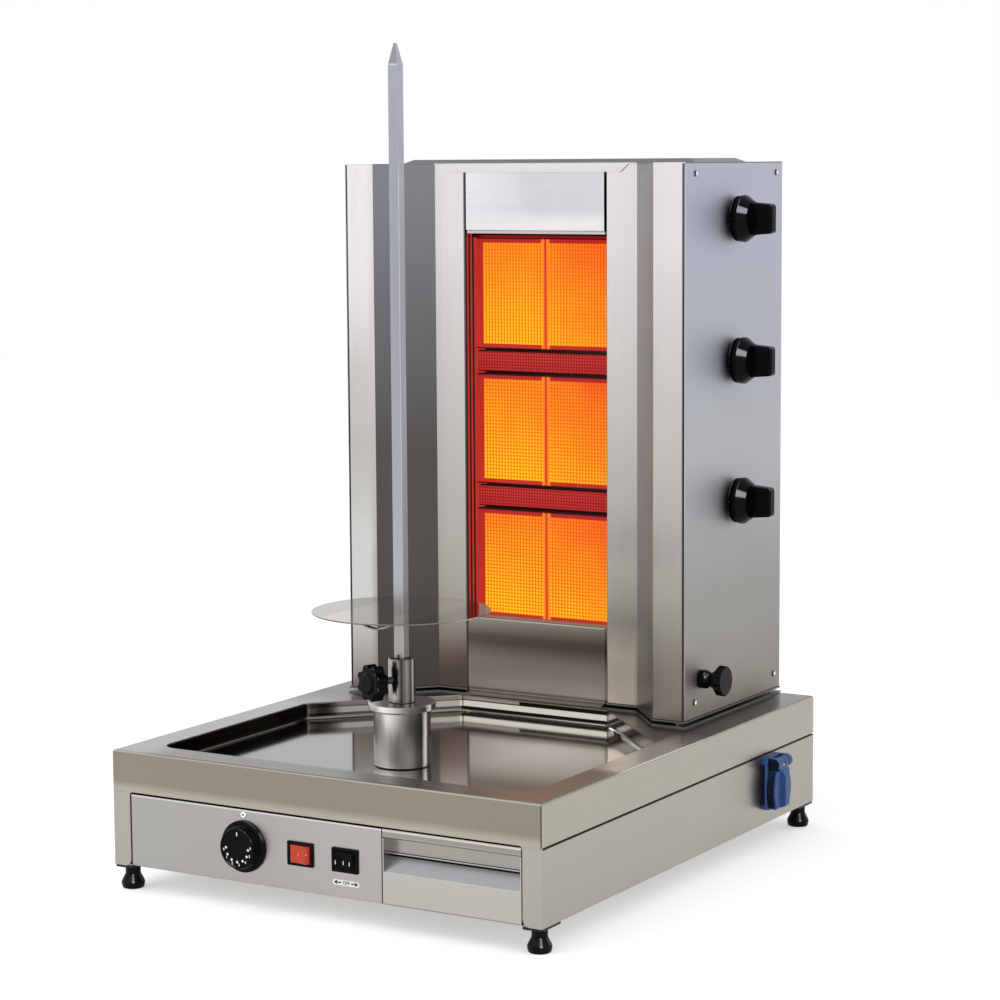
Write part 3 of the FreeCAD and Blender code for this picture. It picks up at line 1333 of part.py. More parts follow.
parts = {
    "base_hood": base_hood(),
    "drip_pan": drip_pan(),
    "base_chassis": base_chassis(),
    "control_panel": control_panel(),
    "drawer_runners": drawer_runners(),
    "foot_plates": foot_plates(),
    "foot_front_left": foot(-foot_x, -foot_y),
    "foot_front_right": foot(foot_x, -foot_y),
    "foot_rear_left": foot(-foot_x, foot_y),
    "foot_rear_right": foot(foot_x, foot_y),
    "motor_bracket": motor_bracket(),
    "gearbox": gearbox(),
    "drive_motor": drive_motor(),
    "pedestal": pedestal(),
    "pedestal_cap": pedestal_cap(),
    "shaft_bush": shaft_bush(),
    "output_shaft": output_shaft(),
    "spit_sleeve": spit_sleeve(),
    "clamp_screw": clamp_screw(),
    "clamp_knob": clamp_knob(),
    "spit_rod": spit_rod(),
    "meat_disc": meat_disc(),
    "dial_knob": dial(),
    "regulator": regulator(),
    "dial_index": dial_index(),
    "motor_switch": switch_body(motor_switch_x),
    "motor_rocker": rocker(motor_switch_x, -rocker_tilt),
    "direction_switch": switch_body(direction_switch_x),
    "direction_rocker": rocker(direction_switch_x, 0),
    "drawer_front": drawer_front(),
    "drawer_box": drawer_box(),
    "power_socket": power_socket(),
    "socket_lid": socket_lid(),
    "slide_base": slide_base(),
    "tower_lock": tower_lock(),
    "tower_base": tower_base(),
    "cheek_right": cheek(),
    "cheek_left": mirrored(cheek()),
    "side_panel_right": side_panel_right(),
    "side_panel_left": mirrored(side_panel()),
    "rear_panel": rear_panel(),
    "roof": roof(),
    "upper_fascia": upper_fascia(),
    "lower_fascia": lower_fascia(),
    "burner_frames": group(burner_frame, burner_centres),
    "burner_tiles": group(burner_tiles, burner_centres),
    "burner_mesh": group(burner_mesh, burner_centres),
    "burner_housings": group(burner_housing, burner_centres),
    "burner_baffles": group(baffle, baffle_heights),
    "knob_bezels": group(knob_bezel, knob_heights),
    "gas_valves": group(gas_valve, knob_heights),
    "gas_pipework": gas_pipework(),
    "gas_inlet": gas_inlet(),
    "tower_screws": tower_screws(),
}
for name, height in zip(("low", "middle", "high"), knob_heights):
    parts["valve_stem_" + name] = valve_stem(height)
    parts["gas_knob_" + name] = gas_knob(height)

os.makedirs("parts", exist_ok=True)
for name, shape in parts.items():
    shape.exportStep("parts/" + name + ".step")
    print(name, len(shape.Solids), "valid" if shape.isValid() else "NOT VALID", round(shape.Volume))
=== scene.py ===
import math
import bmesh
import bpy
from mathutils import Matrix, Vector


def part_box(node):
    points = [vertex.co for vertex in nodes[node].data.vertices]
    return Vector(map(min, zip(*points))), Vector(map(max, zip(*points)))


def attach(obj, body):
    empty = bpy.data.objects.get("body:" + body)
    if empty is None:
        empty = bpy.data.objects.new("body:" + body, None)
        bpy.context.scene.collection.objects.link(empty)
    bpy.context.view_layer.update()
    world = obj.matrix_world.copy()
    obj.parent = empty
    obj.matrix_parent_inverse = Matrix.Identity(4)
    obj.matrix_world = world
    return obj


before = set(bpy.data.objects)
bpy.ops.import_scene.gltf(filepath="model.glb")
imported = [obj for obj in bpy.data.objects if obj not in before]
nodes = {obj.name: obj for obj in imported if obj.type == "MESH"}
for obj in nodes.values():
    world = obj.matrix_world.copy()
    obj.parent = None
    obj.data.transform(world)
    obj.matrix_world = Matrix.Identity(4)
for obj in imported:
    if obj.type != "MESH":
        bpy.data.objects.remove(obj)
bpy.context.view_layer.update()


print("frame loaded:", len(nodes), "solids")

up, down, right, left = (0.0, 0.0, 1.0), (0.0, 0.0, -1.0), (1.0, 0.0, 0.0), (-1.0, 0.0, 0.0)
forward, back = (0.0, -1.0, 0.0), (0.0, 1.0, 0.0)
slantLeft, slantRight = (0.75, -0.66, 0.0), (-0.75, -0.66, 0.0)
# a direction with the two shares of it at which a layer starts and is full
onTop, onFront, onRight, onBack = (up, 0.5, 0.9), (forward, 0.5, 0.9), (right, 0.5, 0.9), (back, 0.5, 0.9)
onSlantLeft, onSlantRight = (slantLeft, 0.8, 0.95), (slantRight, 0.8, 0.95)
screenMax = 255


def screenTone(red, green, blue):
    # a tone as read on a screen, 0 to 255, turned into the linear colour that the shaders use
    shares = [level / screenMax for level in (red, green, blue)]
    return tuple(((v + 0.055) / 1.055) ** 2.4 if v > 0.0405 else v / 12.92 for v in shares)


greyWarmth = {"lessGreen": 3, "lessBlue": 7}


def steelGrey(level):
    # a plain grey of steel, a little warm
    return screenTone(level, level - greyWarmth["lessGreen"], level - greyWarmth["lessBlue"])


def addNode(tree, kind, place=(0, 0), **settings):
    node = tree.nodes.new(kind)
    node.location = place
    for key, value in settings.items():
        setattr(node, key, value)
    return node


def startMaterial(name):
    material = bpy.data.materials.new(name)
    material.use_nodes = True
    tree = material.node_tree
    tree.nodes.clear()
    output = addNode(tree, "ShaderNodeOutputMaterial", (900, 0))
    shader = addNode(tree, "ShaderNodeBsdfPrincipled", (600, 0))
    tree.links.new(shader.outputs[0], output.inputs[0])
    coords = addNode(tree, "ShaderNodeTexCoord", (-1500, 0))
    return material, tree, shader, coords


def placeGroup(tree, group, place, values=None, links=None):
    node = addNode(tree, "ShaderNodeGroup", place)
    node.node_tree = group
    for key, value in (values or {}).items():
        node.inputs[key].default_value = value
    for key, socket in (links or {}).items():
        tree.links.new(socket, node.inputs[key])
    return node


def startGroup(name, inputs, outputs):
    group = bpy.data.node_groups.new(name, "ShaderNodeTree")
    for label, kind, value in inputs:
        socket = group.interface.new_socket(name=label, in_out="INPUT", socket_type=kind)
        if value is not None:
            socket.default_value = value
    for label, kind in outputs:
        group.interface.new_socket(name=label, in_out="OUTPUT", socket_type=kind)
    return group, addNode(group, "NodeGroupInput", (-900, 0)), addNode(group, "NodeGroupOutput", (900, 0))


def mixColour(tree, place, factor, first, second, blend="MIX"):
    node = addNode(tree, "ShaderNodeMix", place, data_type="RGBA", blend_type=blend)
    for index, value in ((0, factor), (6, first), (7, second)):
        if isinstance(value, (int, float, tuple, list)):
            node.inputs[index].default_value = value if index == 0 else (*value[:3], 1.0)
        else:
            tree.links.new(value, node.inputs[index])
    return node.outputs[2]


def mathNode(tree, place, operation, first, second=0.0, third=None, clamp=False):
    node = addNode(tree, "ShaderNodeMath", place, operation=operation, use_clamp=clamp)
    for index, value in enumerate((first, second, third)):
        if value is None:
            continue
        if isinstance(value, (int, float)):
            node.inputs[index].default_value = value
        else:
            tree.links.new(value, node.inputs[index])
    return node.outputs[0]


grainLook = {"levelFrom": 0.6, "detail": 5.0, "roughness": 0.65, "cloudDetail": 4.0, "grainHeight": 0.8,
             "cloudHeight": 0.6}


def makeBrushedGrain():
    # long fine scratches; the grain runs flat on upright faces and along X on level ones
    group, given, result = startGroup("brushedGrain", [
        ("Vector", "NodeSocketVector", None), ("Normal", "NodeSocketVector", None),
        ("Upright Stretch", "NodeSocketVector", (4.0, 4.0, 900.0)),
        ("Level Stretch", "NodeSocketVector", (5.0, 900.0, 5.0)), ("Cloud Scale", "NodeSocketFloat", 6.0)],
        [("Grain", "NodeSocketFloat"), ("Cloud", "NodeSocketFloat"), ("Height", "NodeSocketFloat")])
    link = group.links.new
    upright = addNode(group, "ShaderNodeVectorMath", (-600, 200), operation="MULTIPLY")
    level = addNode(group, "ShaderNodeVectorMath", (-600, 0), operation="MULTIPLY")
    for node, stretch in ((upright, "Upright Stretch"), (level, "Level Stretch")):
        link(given.outputs["Vector"], node.inputs[0])
        link(given.outputs[stretch], node.inputs[1])
    split = addNode(group, "ShaderNodeSeparateXYZ", (-600, -200))
    link(given.outputs["Normal"], split.inputs[0])
    isLevel = mathNode(group, (-400, -200), "GREATER_THAN",
                       mathNode(group, (-500, -200), "ABSOLUTE", split.outputs[2]),
                       grainLook["levelFrom"])
    choose = addNode(group, "ShaderNodeMix", (-350, 100), data_type="VECTOR")
    link(isLevel, choose.inputs[0])
    link(upright.outputs[0], choose.inputs[4])
    link(level.outputs[0], choose.inputs[5])
    fine = addNode(group, "ShaderNodeTexNoise", (-100, 200))
    fine.inputs["Scale"].default_value = 1.0
    fine.inputs["Detail"].default_value = grainLook["detail"]
    fine.inputs["Roughness"].default_value = grainLook["roughness"]
    link(choose.outputs[1], fine.inputs["Vector"])
    cloud = addNode(group, "ShaderNodeTexNoise", (-100, -100))
    cloud.inputs["Detail"].default_value = grainLook["cloudDetail"]
    link(given.outputs["Vector"], cloud.inputs["Vector"])
    link(given.outputs["Cloud Scale"], cloud.inputs["Scale"])
    link(fine.outputs["Fac"], result.inputs["Grain"])
    link(cloud.outputs["Fac"], result.inputs["Cloud"])
    grainPart = mathNode(group, (100, -100), "MULTIPLY", fine.outputs["Fac"], grainLook["grainHeight"])
    cloudPart = mathNode(group, (100, -250), "MULTIPLY", cloud.outputs["Fac"], grainLook["cloudHeight"])
    link(mathNode(group, (300, -100), "ADD", grainPart, cloudPart), result.inputs["Height"])
    return group


def makeBandMask():
    # 0 at From and 1 at To, measured along Axis; for places in metres and for normals
    group, given, result = startGroup("bandMask", [
        ("Vector", "NodeSocketVector", None), ("Axis", "NodeSocketVector", (0.0, 0.0, 1.0)),
        ("From", "NodeSocketFloat", 0.0), ("To", "NodeSocketFloat", 1.0)], [("Mask", "NodeSocketFloat")])
    link = group.links.new
    dot = addNode(group, "ShaderNodeVectorMath", (-500, 0), operation="DOT_PRODUCT")
    link(given.outputs["Vector"], dot.inputs[0])
    link(given.outputs["Axis"], dot.inputs[1])
    above = mathNode(group, (-300, 0), "SUBTRACT", dot.outputs["Value"], given.outputs["From"])
    span = mathNode(group, (-300, -200), "SUBTRACT", given.outputs["To"], given.outputs["From"])
    link(mathNode(group, (0, 0), "DIVIDE", above, span, clamp=True), result.inputs["Mask"])
    return group


skinLook = {"fineDetail": 2.0, "dustDetail": 6.0}


def makeMouldedSkin():
    # fine uneven skin of moulded plastic or rubber
    group, given, result = startGroup("mouldedSkin", [
        ("Vector", "NodeSocketVector", None), ("Fine Scale", "NodeSocketFloat", 1400.0),
        ("Dust Scale", "NodeSocketFloat", 60.0)],
        [("Height", "NodeSocketFloat"), ("Dust", "NodeSocketFloat")])
    link = group.links.new
    fine = addNode(group, "ShaderNodeTexNoise", (-300, 200))
    dust = addNode(group, "ShaderNodeTexNoise", (-300, -100))
    fine.inputs["Detail"].default_value = skinLook["fineDetail"]
    dust.inputs["Detail"].default_value = skinLook["dustDetail"]
    for node, scale in ((fine, "Fine Scale"), (dust, "Dust Scale")):
        link(given.outputs["Vector"], node.inputs["Vector"])
        link(given.outputs[scale], node.inputs["Scale"])
    link(fine.outputs["Fac"], result.inputs["Height"])
    link(dust.outputs["Fac"], result.inputs["Dust"])
    return group


heatLook = {"scale": 22.0, "detail": 3.0}


def makePorousGlow():
    # rows of tiny flame holes, the heat that drifts over the plates, and each row's own rise from yellow to red
    group, given, result = startGroup("porousGlow", [
        ("Vector", "NodeSocketVector", None), ("Hole Pitch", "NodeSocketFloat", 0.0041),
        ("Row Start", "NodeSocketFloat", 0.233), ("Row Pitch", "NodeSocketFloat", 0.161)],
        [("Holes", "NodeSocketFloat"), ("Heat", "NodeSocketFloat"), ("Rise", "NodeSocketFloat")])
    link = group.links.new
    cells = addNode(group, "ShaderNodeVectorMath", (-600, 0), operation="DIVIDE")
    pitch = addNode(group, "ShaderNodeCombineXYZ", (-750, -200))
    for index in range(3):
        link(given.outputs["Hole Pitch"], pitch.inputs[index])
    link(given.outputs["Vector"], cells.inputs[0])
    link(pitch.outputs[0], cells.inputs[1])
    split = addNode(group, "ShaderNodeSeparateXYZ", (-450, 0))
    link(cells.outputs[0], split.inputs[0])
    waves = []
    for n, axis in enumerate((0, 2)):
        turn = mathNode(group, (-350, 200 * n), "MULTIPLY", split.outputs[axis], math.pi)
        waves.append(mathNode(group, (-150, 200 * n), "ABSOLUTE",
                              mathNode(group, (-250, 200 * n), "SINE", turn)))
    link(mathNode(group, (100, 100), "MULTIPLY", waves[0], waves[1]), result.inputs["Holes"])
    heat = addNode(group, "ShaderNodeTexNoise", (-300, -300))
    heat.inputs["Scale"].default_value = heatLook["scale"]
    heat.inputs["Detail"].default_value = heatLook["detail"]
    link(given.outputs["Vector"], heat.inputs["Vector"])
    link(heat.outputs["Fac"], result.inputs["Heat"])
    place = addNode(group, "ShaderNodeSeparateXYZ", (-450, -500))
    link(given.outputs["Vector"], place.inputs[0])
    aboveStart = mathNode(group, (-250, -500), "SUBTRACT", place.outputs[2], given.outputs["Row Start"])
    rows = mathNode(group, (-100, -500), "DIVIDE", aboveStart, given.outputs["Row Pitch"])
    link(mathNode(group, (50, -500), "FRACT", rows), result.inputs["Rise"])
    return group


brushedGrain = makeBrushedGrain()
bandMask = makeBandMask()
mouldedSkin = makeMouldedSkin()
porousGlow = makePorousGlow()


def bandOf(tree, vector, axis, start, end, place):
    band = placeGroup(tree, bandMask, place, {"Axis": axis, "From": start, "To": end}, {"Vector": vector})
    return band.outputs["Mask"]


def layTones(tree, position, normal, base, layers):
    # each layer lays its tone where its face looks and where its bands along an axis allow
    colour = base
    for n, layer in enumerate(layers):
        place = (-1200 + 60 * n, 900 - 220 * n)
        masks = []
        if "facing" in layer:
            masks.append(bandOf(tree, normal, *layer["facing"], place))
        masks += [bandOf(tree, position, *along, (place[0] + 180, place[1]))
                  for along in layer.get("along", [])]
        mask = masks[0]
        for other in masks[1:]:
            mask = mathNode(tree, (place[0] + 360, place[1]), "MULTIPLY", mask, other)
        colour = mixColour(tree, (place[0] + 540, place[1]), mask, colour, layer["tone"])
    return colour


def steelFinish(name, tone, layers=(), roughness=0.3, roughnessSpread=0.12, grainDepth=0.12, grainTint=0.16,
                cloudTint=0.12, cloudScale=6.0, upright=(4.0, 4.0, 900.0), bumpStrength=0.12, glow=(),
                glowLevel=1.0):
    material, tree, shader, coords = startMaterial(name)
    link = tree.links.new
    geometry = addNode(tree, "ShaderNodeNewGeometry", (-1500, -250))
    position, normal = coords.outputs["Object"], geometry.outputs["Normal"]
    grain = placeGroup(tree, brushedGrain, (-600, 0),
                       {"Upright Stretch": upright, "Cloud Scale": cloudScale},
                       {"Vector": position, "Normal": normal})
    colour = layTones(tree, position, normal, tone, layers)
    spread = mathNode(tree, (-350, 50), "MULTIPLY_ADD", grain.outputs["Grain"], grainTint, 1.0 - grainTint / 2)
    clouds = mathNode(tree, (-350, -100), "MULTIPLY_ADD", grain.outputs["Cloud"], cloudTint,
                      1.0 - cloudTint / 2)
    shade = mathNode(tree, (-150, 0), "MULTIPLY", spread, clouds)
    link(mixColour(tree, (100, 200), 1.0, colour, shade, "MULTIPLY"), shader.inputs["Base Color"])
    dull = mathNode(tree, (100, -50), "MULTIPLY_ADD", grain.outputs["Grain"], roughnessSpread,
                    roughness - roughnessSpread / 2)
    link(dull, shader.inputs["Roughness"])
    bump = addNode(tree, "ShaderNodeBump", (300, -250))
    bump.inputs["Strength"].default_value = bumpStrength
    bump.inputs["Distance"].default_value = grainDepth / 1000
    link(grain.outputs["Height"], bump.inputs["Height"])
    link(bump.outputs[0], shader.inputs["Normal"])
    shader.inputs["Metallic"].default_value = 1.0
    if glow:
        link(layTones(tree, position, normal, (0.0, 0.0, 0.0), glow), shader.inputs["Emission Color"])
        shader.inputs["Emission Strength"].default_value = glowLevel
    return material


turnedLook = {"levelFrom": 0.7, "stretch": (60.0, 60.0, 900.0), "roughnessSpread": 0.06, "bumpStrength": 0.05,
              "bumpDistance": 0.0001, "footShadeTone": screenTone(34, 28, 24)}


def turnedFinish(name, stops, levelTone, roughness=0.16, grainTint=0.1, foot=None):
    # polished round steel with painted reflections: upright light and dark bands round it, each at the heading
    # in degrees that the surface looks to
    material, tree, shader, coords = startMaterial(name)
    link = tree.links.new
    geometry = addNode(tree, "ShaderNodeNewGeometry", (-1500, -250))
    split = addNode(tree, "ShaderNodeSeparateXYZ", (-1200, 200))
    link(geometry.outputs["Normal"], split.inputs[0])
    heading = mathNode(tree, (-1000, 200), "ARCTAN2", split.outputs[1], split.outputs[0])
    paintedReflections = addNode(tree, "ShaderNodeValToRGB", (-600, 200))
    link(mathNode(tree, (-800, 200), "MULTIPLY_ADD", heading, 1 / (2 * math.pi), 0.5), paintedReflections.inputs[0])
    ramp = paintedReflections.color_ramp
    while len(ramp.elements) < len(stops):
        ramp.elements.new(0.5)
    for element, (degrees, level, *sheen) in zip(ramp.elements, stops):
        element.position = degrees / 360 + 0.5
        element.color = (*steelGrey(level), sheen[0] if sheen else 1.0)
    isLevel = mathNode(tree, (-800, 450), "GREATER_THAN",
                       mathNode(tree, (-1000, 450), "ABSOLUTE", split.outputs[2]),
                       turnedLook["levelFrom"])
    grain = placeGroup(tree, brushedGrain, (-600, -200), {"Upright Stretch": turnedLook["stretch"]},
                       {"Vector": coords.outputs["Object"], "Normal": geometry.outputs["Normal"]})
    shade = mathNode(tree, (-300, -100), "MULTIPLY_ADD", grain.outputs["Grain"], grainTint, 1.0 - grainTint / 2)
    colour = mixColour(tree, (-250, 250), isLevel, paintedReflections.outputs[0], levelTone)
    if foot:
        # a painted dark line of shade where the piece stands
        shadeAtFoot = bandOf(tree, coords.outputs["Object"], up, *foot, (-400, 500))
        colour = mixColour(tree, (-120, 350), shadeAtFoot, colour, turnedLook["footShadeTone"])
    link(mixColour(tree, (0, 200), 1.0, colour, shade, "MULTIPLY"), shader.inputs["Base Color"])
    spread = turnedLook["roughnessSpread"]
    link(mathNode(tree, (0, -50), "MULTIPLY_ADD", grain.outputs["Grain"], spread, roughness - spread / 2),
         shader.inputs["Roughness"])
    bump = addNode(tree, "ShaderNodeBump", (300, -250))
    bump.inputs["Strength"].default_value = turnedLook["bumpStrength"]
    bump.inputs["Distance"].default_value = turnedLook["bumpDistance"]
    link(grain.outputs["Height"], bump.inputs["Height"])
    link(bump.outputs[0], shader.inputs["Normal"])
    link(mathNode(tree, (0, -400), "MAXIMUM", paintedReflections.outputs["Alpha"], isLevel), shader.inputs["Metallic"])
    return material


mouldedLook = {"dustFrom": 0.5, "dustTo": 0.8, "dustLift": 0.15, "roughnessSpread": 0.14,
               "bumpDistance": 0.0001}


def mouldedFinish(name, tone, roughness=0.3, dustTone=None, dustAmount=0.1, bumpStrength=0.1, specular=0.5,
                  layers=()):
    material, tree, shader, coords = startMaterial(name)
    link = tree.links.new
    geometry = addNode(tree, "ShaderNodeNewGeometry", (-1500, -250))
    skin = placeGroup(tree, mouldedSkin, (-600, 0), None, {"Vector": coords.outputs["Object"]})
    dust = addNode(tree, "ShaderNodeMapRange", (-350, 100))
    dust.inputs["From Min"].default_value = mouldedLook["dustFrom"]
    dust.inputs["From Max"].default_value = mouldedLook["dustTo"]
    dust.inputs["To Max"].default_value = dustAmount
    link(skin.outputs["Dust"], dust.inputs["Value"])
    colour = layTones(tree, coords.outputs["Object"], geometry.outputs["Normal"], tone, layers)
    dusty = dustTone or tuple(min(1.0, v + mouldedLook["dustLift"]) for v in tone)
    link(mixColour(tree, (-100, 200), dust.outputs[0], colour, dusty), shader.inputs["Base Color"])
    spread = mouldedLook["roughnessSpread"]
    link(mathNode(tree, (-100, -50), "MULTIPLY_ADD", skin.outputs["Dust"], spread, roughness - spread / 2),
         shader.inputs["Roughness"])
    bump = addNode(tree, "ShaderNodeBump", (200, -250))
    bump.inputs["Strength"].default_value = bumpStrength
    bump.inputs["Distance"].default_value = mouldedLook["bumpDistance"]
    link(skin.outputs["Height"], bump.inputs["Height"])
    link(bump.outputs[0], shader.inputs["Normal"])
    shader.inputs["Specular IOR Level"].default_value = specular
    return material


glowLook = {"sideFrom": -0.02, "sideTo": 0.08, "riseStart": -0.06, "holeFrom": 0.15, "holeTo": 0.75,
            "barEdge": 0.001, "coldShare": 0.92, "coldTone": (0.012, 0.006, 0.005), "bumpStrength": 0.4,
            "bumpDistance": 0.0004, "roughness": 0.8, "specular": 0.1}


def glowFinish(name, lowTone, highTone, holeTone, holePitch=0.0041, holeShare=0.55, strength=1.0, heatShare=0.4,
               riseShare=0.8, sideShare=0.25, edge=None, edgeShadeTone=(0.01, 0.001, 0.001), bars=(),
               mirrorShare=0.75, mirrorTone=(0.42, 0.37, 0.33)):
    material, tree, shader, coords = startMaterial(name)
    link = tree.links.new
    position = coords.outputs["Object"]
    pores = placeGroup(tree, porousGlow, (-900, 0), {"Hole Pitch": holePitch}, {"Vector": position})
    side = bandOf(tree, position, right, glowLook["sideFrom"], glowLook["sideTo"], (-900, 300))
    rise = mathNode(tree, (-600, 300), "MULTIPLY_ADD", pores.outputs["Rise"], riseShare, glowLook["riseStart"])
    rise = mathNode(tree, (-450, 300), "MULTIPLY_ADD", side, sideShare, rise)
    uneven = mathNode(tree, (-450, 150), "MULTIPLY_ADD", pores.outputs["Heat"], heatShare, -heatShare / 2)
    blend = mathNode(tree, (-300, 250), "ADD", rise, uneven, clamp=True)
    plate = mixColour(tree, (-150, 250), blend, lowTone, highTone)
    holes = addNode(tree, "ShaderNodeMapRange", (-350, 0))
    holes.inputs["From Min"].default_value = glowLook["holeFrom"]
    holes.inputs["From Max"].default_value = glowLook["holeTo"]
    holes.inputs["To Min"].default_value = holeShare
    holes.inputs["To Max"].default_value = 0.0
    link(pores.outputs["Holes"], holes.inputs["Value"])
    colour = mixColour(tree, (50, 200), holes.outputs[0], plate, holeTone)
    for reach, barTone in bars:
        # the bar between two plates glows brighter than the frame round them, with a dark seam along its middle
        start, full = -reach, glowLook["barEdge"] - reach
        onBar = mathNode(tree, (-300, 450), "MULTIPLY", bandOf(tree, position, right, start, full, (-500, 500)),
                         bandOf(tree, position, left, start, full, (-500, 400)))
        colour = mixColour(tree, (120, 300), onBar, colour, barTone)
    if edge:
        # painted shade: the rows are darker towards the gaps above and below them
        fromMiddle = mathNode(tree, (-750, 600), "SUBTRACT", pores.outputs["Rise"], 0.5)
        offMiddle = mathNode(tree, (-600, 600), "ABSOLUTE", fromMiddle)
        aside = addNode(tree, "ShaderNodeCombineXYZ", (-450, 600))
        link(offMiddle, aside.inputs[2])
        shadeOnEdge = bandOf(tree, aside.outputs[0], up, *edge, (-300, 600))
        colour = mixColour(tree, (200, 350), shadeOnEdge, colour, edgeShadeTone)
    # the steel round the burners mirrors them only faintly
    path = addNode(tree, "ShaderNodeLightPath", (100, 500))
    mirrored = mathNode(tree, (250, 500), "MULTIPLY", path.outputs["Is Glossy Ray"], mirrorShare)
    link(mixColour(tree, (400, 350), mirrored, colour, mirrorTone), shader.inputs["Emission Color"])
    shader.inputs["Emission Strength"].default_value = strength
    link(mixColour(tree, (200, -100), glowLook["coldShare"], colour, glowLook["coldTone"]),
         shader.inputs["Base Color"])
    bump = addNode(tree, "ShaderNodeBump", (200, -300))
    bump.inputs["Strength"].default_value = glowLook["bumpStrength"]
    bump.inputs["Distance"].default_value = glowLook["bumpDistance"]
    link(pores.outputs["Holes"], bump.inputs["Height"])
    link(bump.outputs[0], shader.inputs["Normal"])
    shader.inputs["Roughness"].default_value = glowLook["roughness"]
    shader.inputs["Specular IOR Level"].default_value = glowLook["specular"]
    return material


# painted light and shade on the hood: its faces lighter or darker by where they look and where they lie,
# standing in for what the steel mirrors; a painted highlight along the top of the right rim, and a painted dark
# strip of shade at the right end of the front
hoodLightAndShade = [
    {"tone": screenTone(135, 129, 117), "facing": onFront, "along": [(up, 0.1093, 0.1113)]},
    {"tone": screenTone(164, 159, 146), "facing": onFront,
     "along": [(up, 0.1093, 0.1113), (up, 0.1225, 0.1145)]},
    {"tone": screenTone(163, 159, 147), "facing": onRight},
    {"tone": screenTone(116, 112, 108), "facing": onTop},
    {"tone": screenTone(160, 157, 159), "facing": onTop, "along": [(left, 0.2, 0.238)]},
    {"tone": screenTone(146, 148, 143), "facing": onTop, "along": [(right, 0.06, 0.17), (forward, 0.26, 0.29)]},
    {"tone": screenTone(146, 148, 143), "facing": onTop,
     "along": [(right, 0.228, 0.236), (back, -0.15, -0.17)]},
    {"tone": screenTone(226, 226, 220), "facing": onTop,
     "along": [(right, 0.228, 0.236), (back, -0.17, -0.15)]},
    {"tone": screenTone(99, 96, 95), "facing": onTop, "along": [(back, -0.02, 0.06)]},
    {"tone": screenTone(150, 148, 144), "facing": onBack},
    {"tone": screenTone(52, 47, 42), "facing": onFront,
     "along": [(right, 0.2683, 0.2689), (up, 0.1093, 0.1113)]},
]
# painted reflections and shade in the drip pan: lighter to the right, dark on faces that look right and
# forward, darker on faces that look left, top faces lighter at the back, with a painted white highlight along
# the rear wall and a lighter strip above it on the left
panLightAndShade = [
    {"tone": screenTone(240, 240, 238), "along": [(right, -0.03, 0.09)]},
    {"tone": screenTone(176, 165, 152), "facing": onTop, "along": [(back, 0.05, 0.056)]},
    {"tone": screenTone(26, 24, 22), "facing": (right, 0.6, 0.9)},
    {"tone": screenTone(28, 25, 22), "facing": (forward, 0.6, 0.9)},
    {"tone": screenTone(252, 250, 248), "facing": (forward, 0.6, 0.9),
     "along": [(up, 0.1425, 0.1432), (up, 0.1500, 0.1493)]},
    {"tone": screenTone(176, 170, 162), "facing": (forward, 0.6, 0.9),
     "along": [(up, 0.1505, 0.1515), (left, 0.02, 0.021)]},
    {"tone": screenTone(90, 84, 78), "facing": (left, 0.6, 0.9)},
]
# painted light and shade on the cheeks: lighter higher up, the slanted faces darker with the left one darkest,
# the inner edges of the opening painted dark as shade, and lighter and darker patches on the pillars as painted
# reflections
cheekLightAndShade = [
    {"tone": screenTone(160, 155, 149), "along": [(up, 0.16, 0.30)]},
    {"tone": screenTone(184, 180, 177), "along": [(up, 0.30, 0.48)]},
    {"tone": screenTone(214, 209, 209), "along": [(up, 0.48, 0.70)]},
    {"tone": screenTone(80, 77, 75), "facing": onSlantLeft},
    {"tone": screenTone(112, 114, 119), "facing": onSlantLeft, "along": [(up, 0.45, 0.76)]},
    {"tone": screenTone(150, 151, 150), "facing": onSlantRight},
    {"tone": screenTone(24, 14, 12), "facing": (right, 0.95, 0.99)},
    {"tone": screenTone(24, 14, 12), "facing": (left, 0.95, 0.99)},
    {"tone": screenTone(192, 192, 190), "along": [(left, 0.185, 0.195), (up, 0.17, 0.27), (up, 0.46, 0.36)]},
    {"tone": screenTone(222, 217, 219), "along": [(left, 0.185, 0.195), (up, 0.55, 0.66)]},
    {"tone": screenTone(212, 200, 186), "along": [(right, 0.09, 0.095), (right, 0.14, 0.13), (up, 0.26, 0.22)]},
    {"tone": screenTone(116, 101, 94), "facing": (forward, 0.9, 0.98),
     "along": [(left, 0.09, 0.0944), (right, -0.16, -0.15), (up, 0.25, 0.20)]},
]
# the burners' red light on the inner edges of the opening: even upright stripes, dark and red in turn
revealLook = {"dark": screenTone(20, 5, 5), "red": screenTone(190, 48, 40), "stripes": 6, "firstDepth": 0.132,
              "pitch": 0.004, "softness": 0.001, "bottom": (0.252, 0.256), "top": (0.708, 0.704)}
revealGlow = []
for facing in (right, left):
    for stripe in range(revealLook["stripes"]):
        depth = revealLook["firstDepth"] + revealLook["pitch"] * stripe
        revealGlow.append({"tone": revealLook["red"] if stripe % 2 else revealLook["dark"],
                           "facing": (facing, 0.95, 0.99),
                           "along": [(back, depth, depth + revealLook["softness"]), (up, *revealLook["bottom"]),
                                     (up, *revealLook["top"])]})
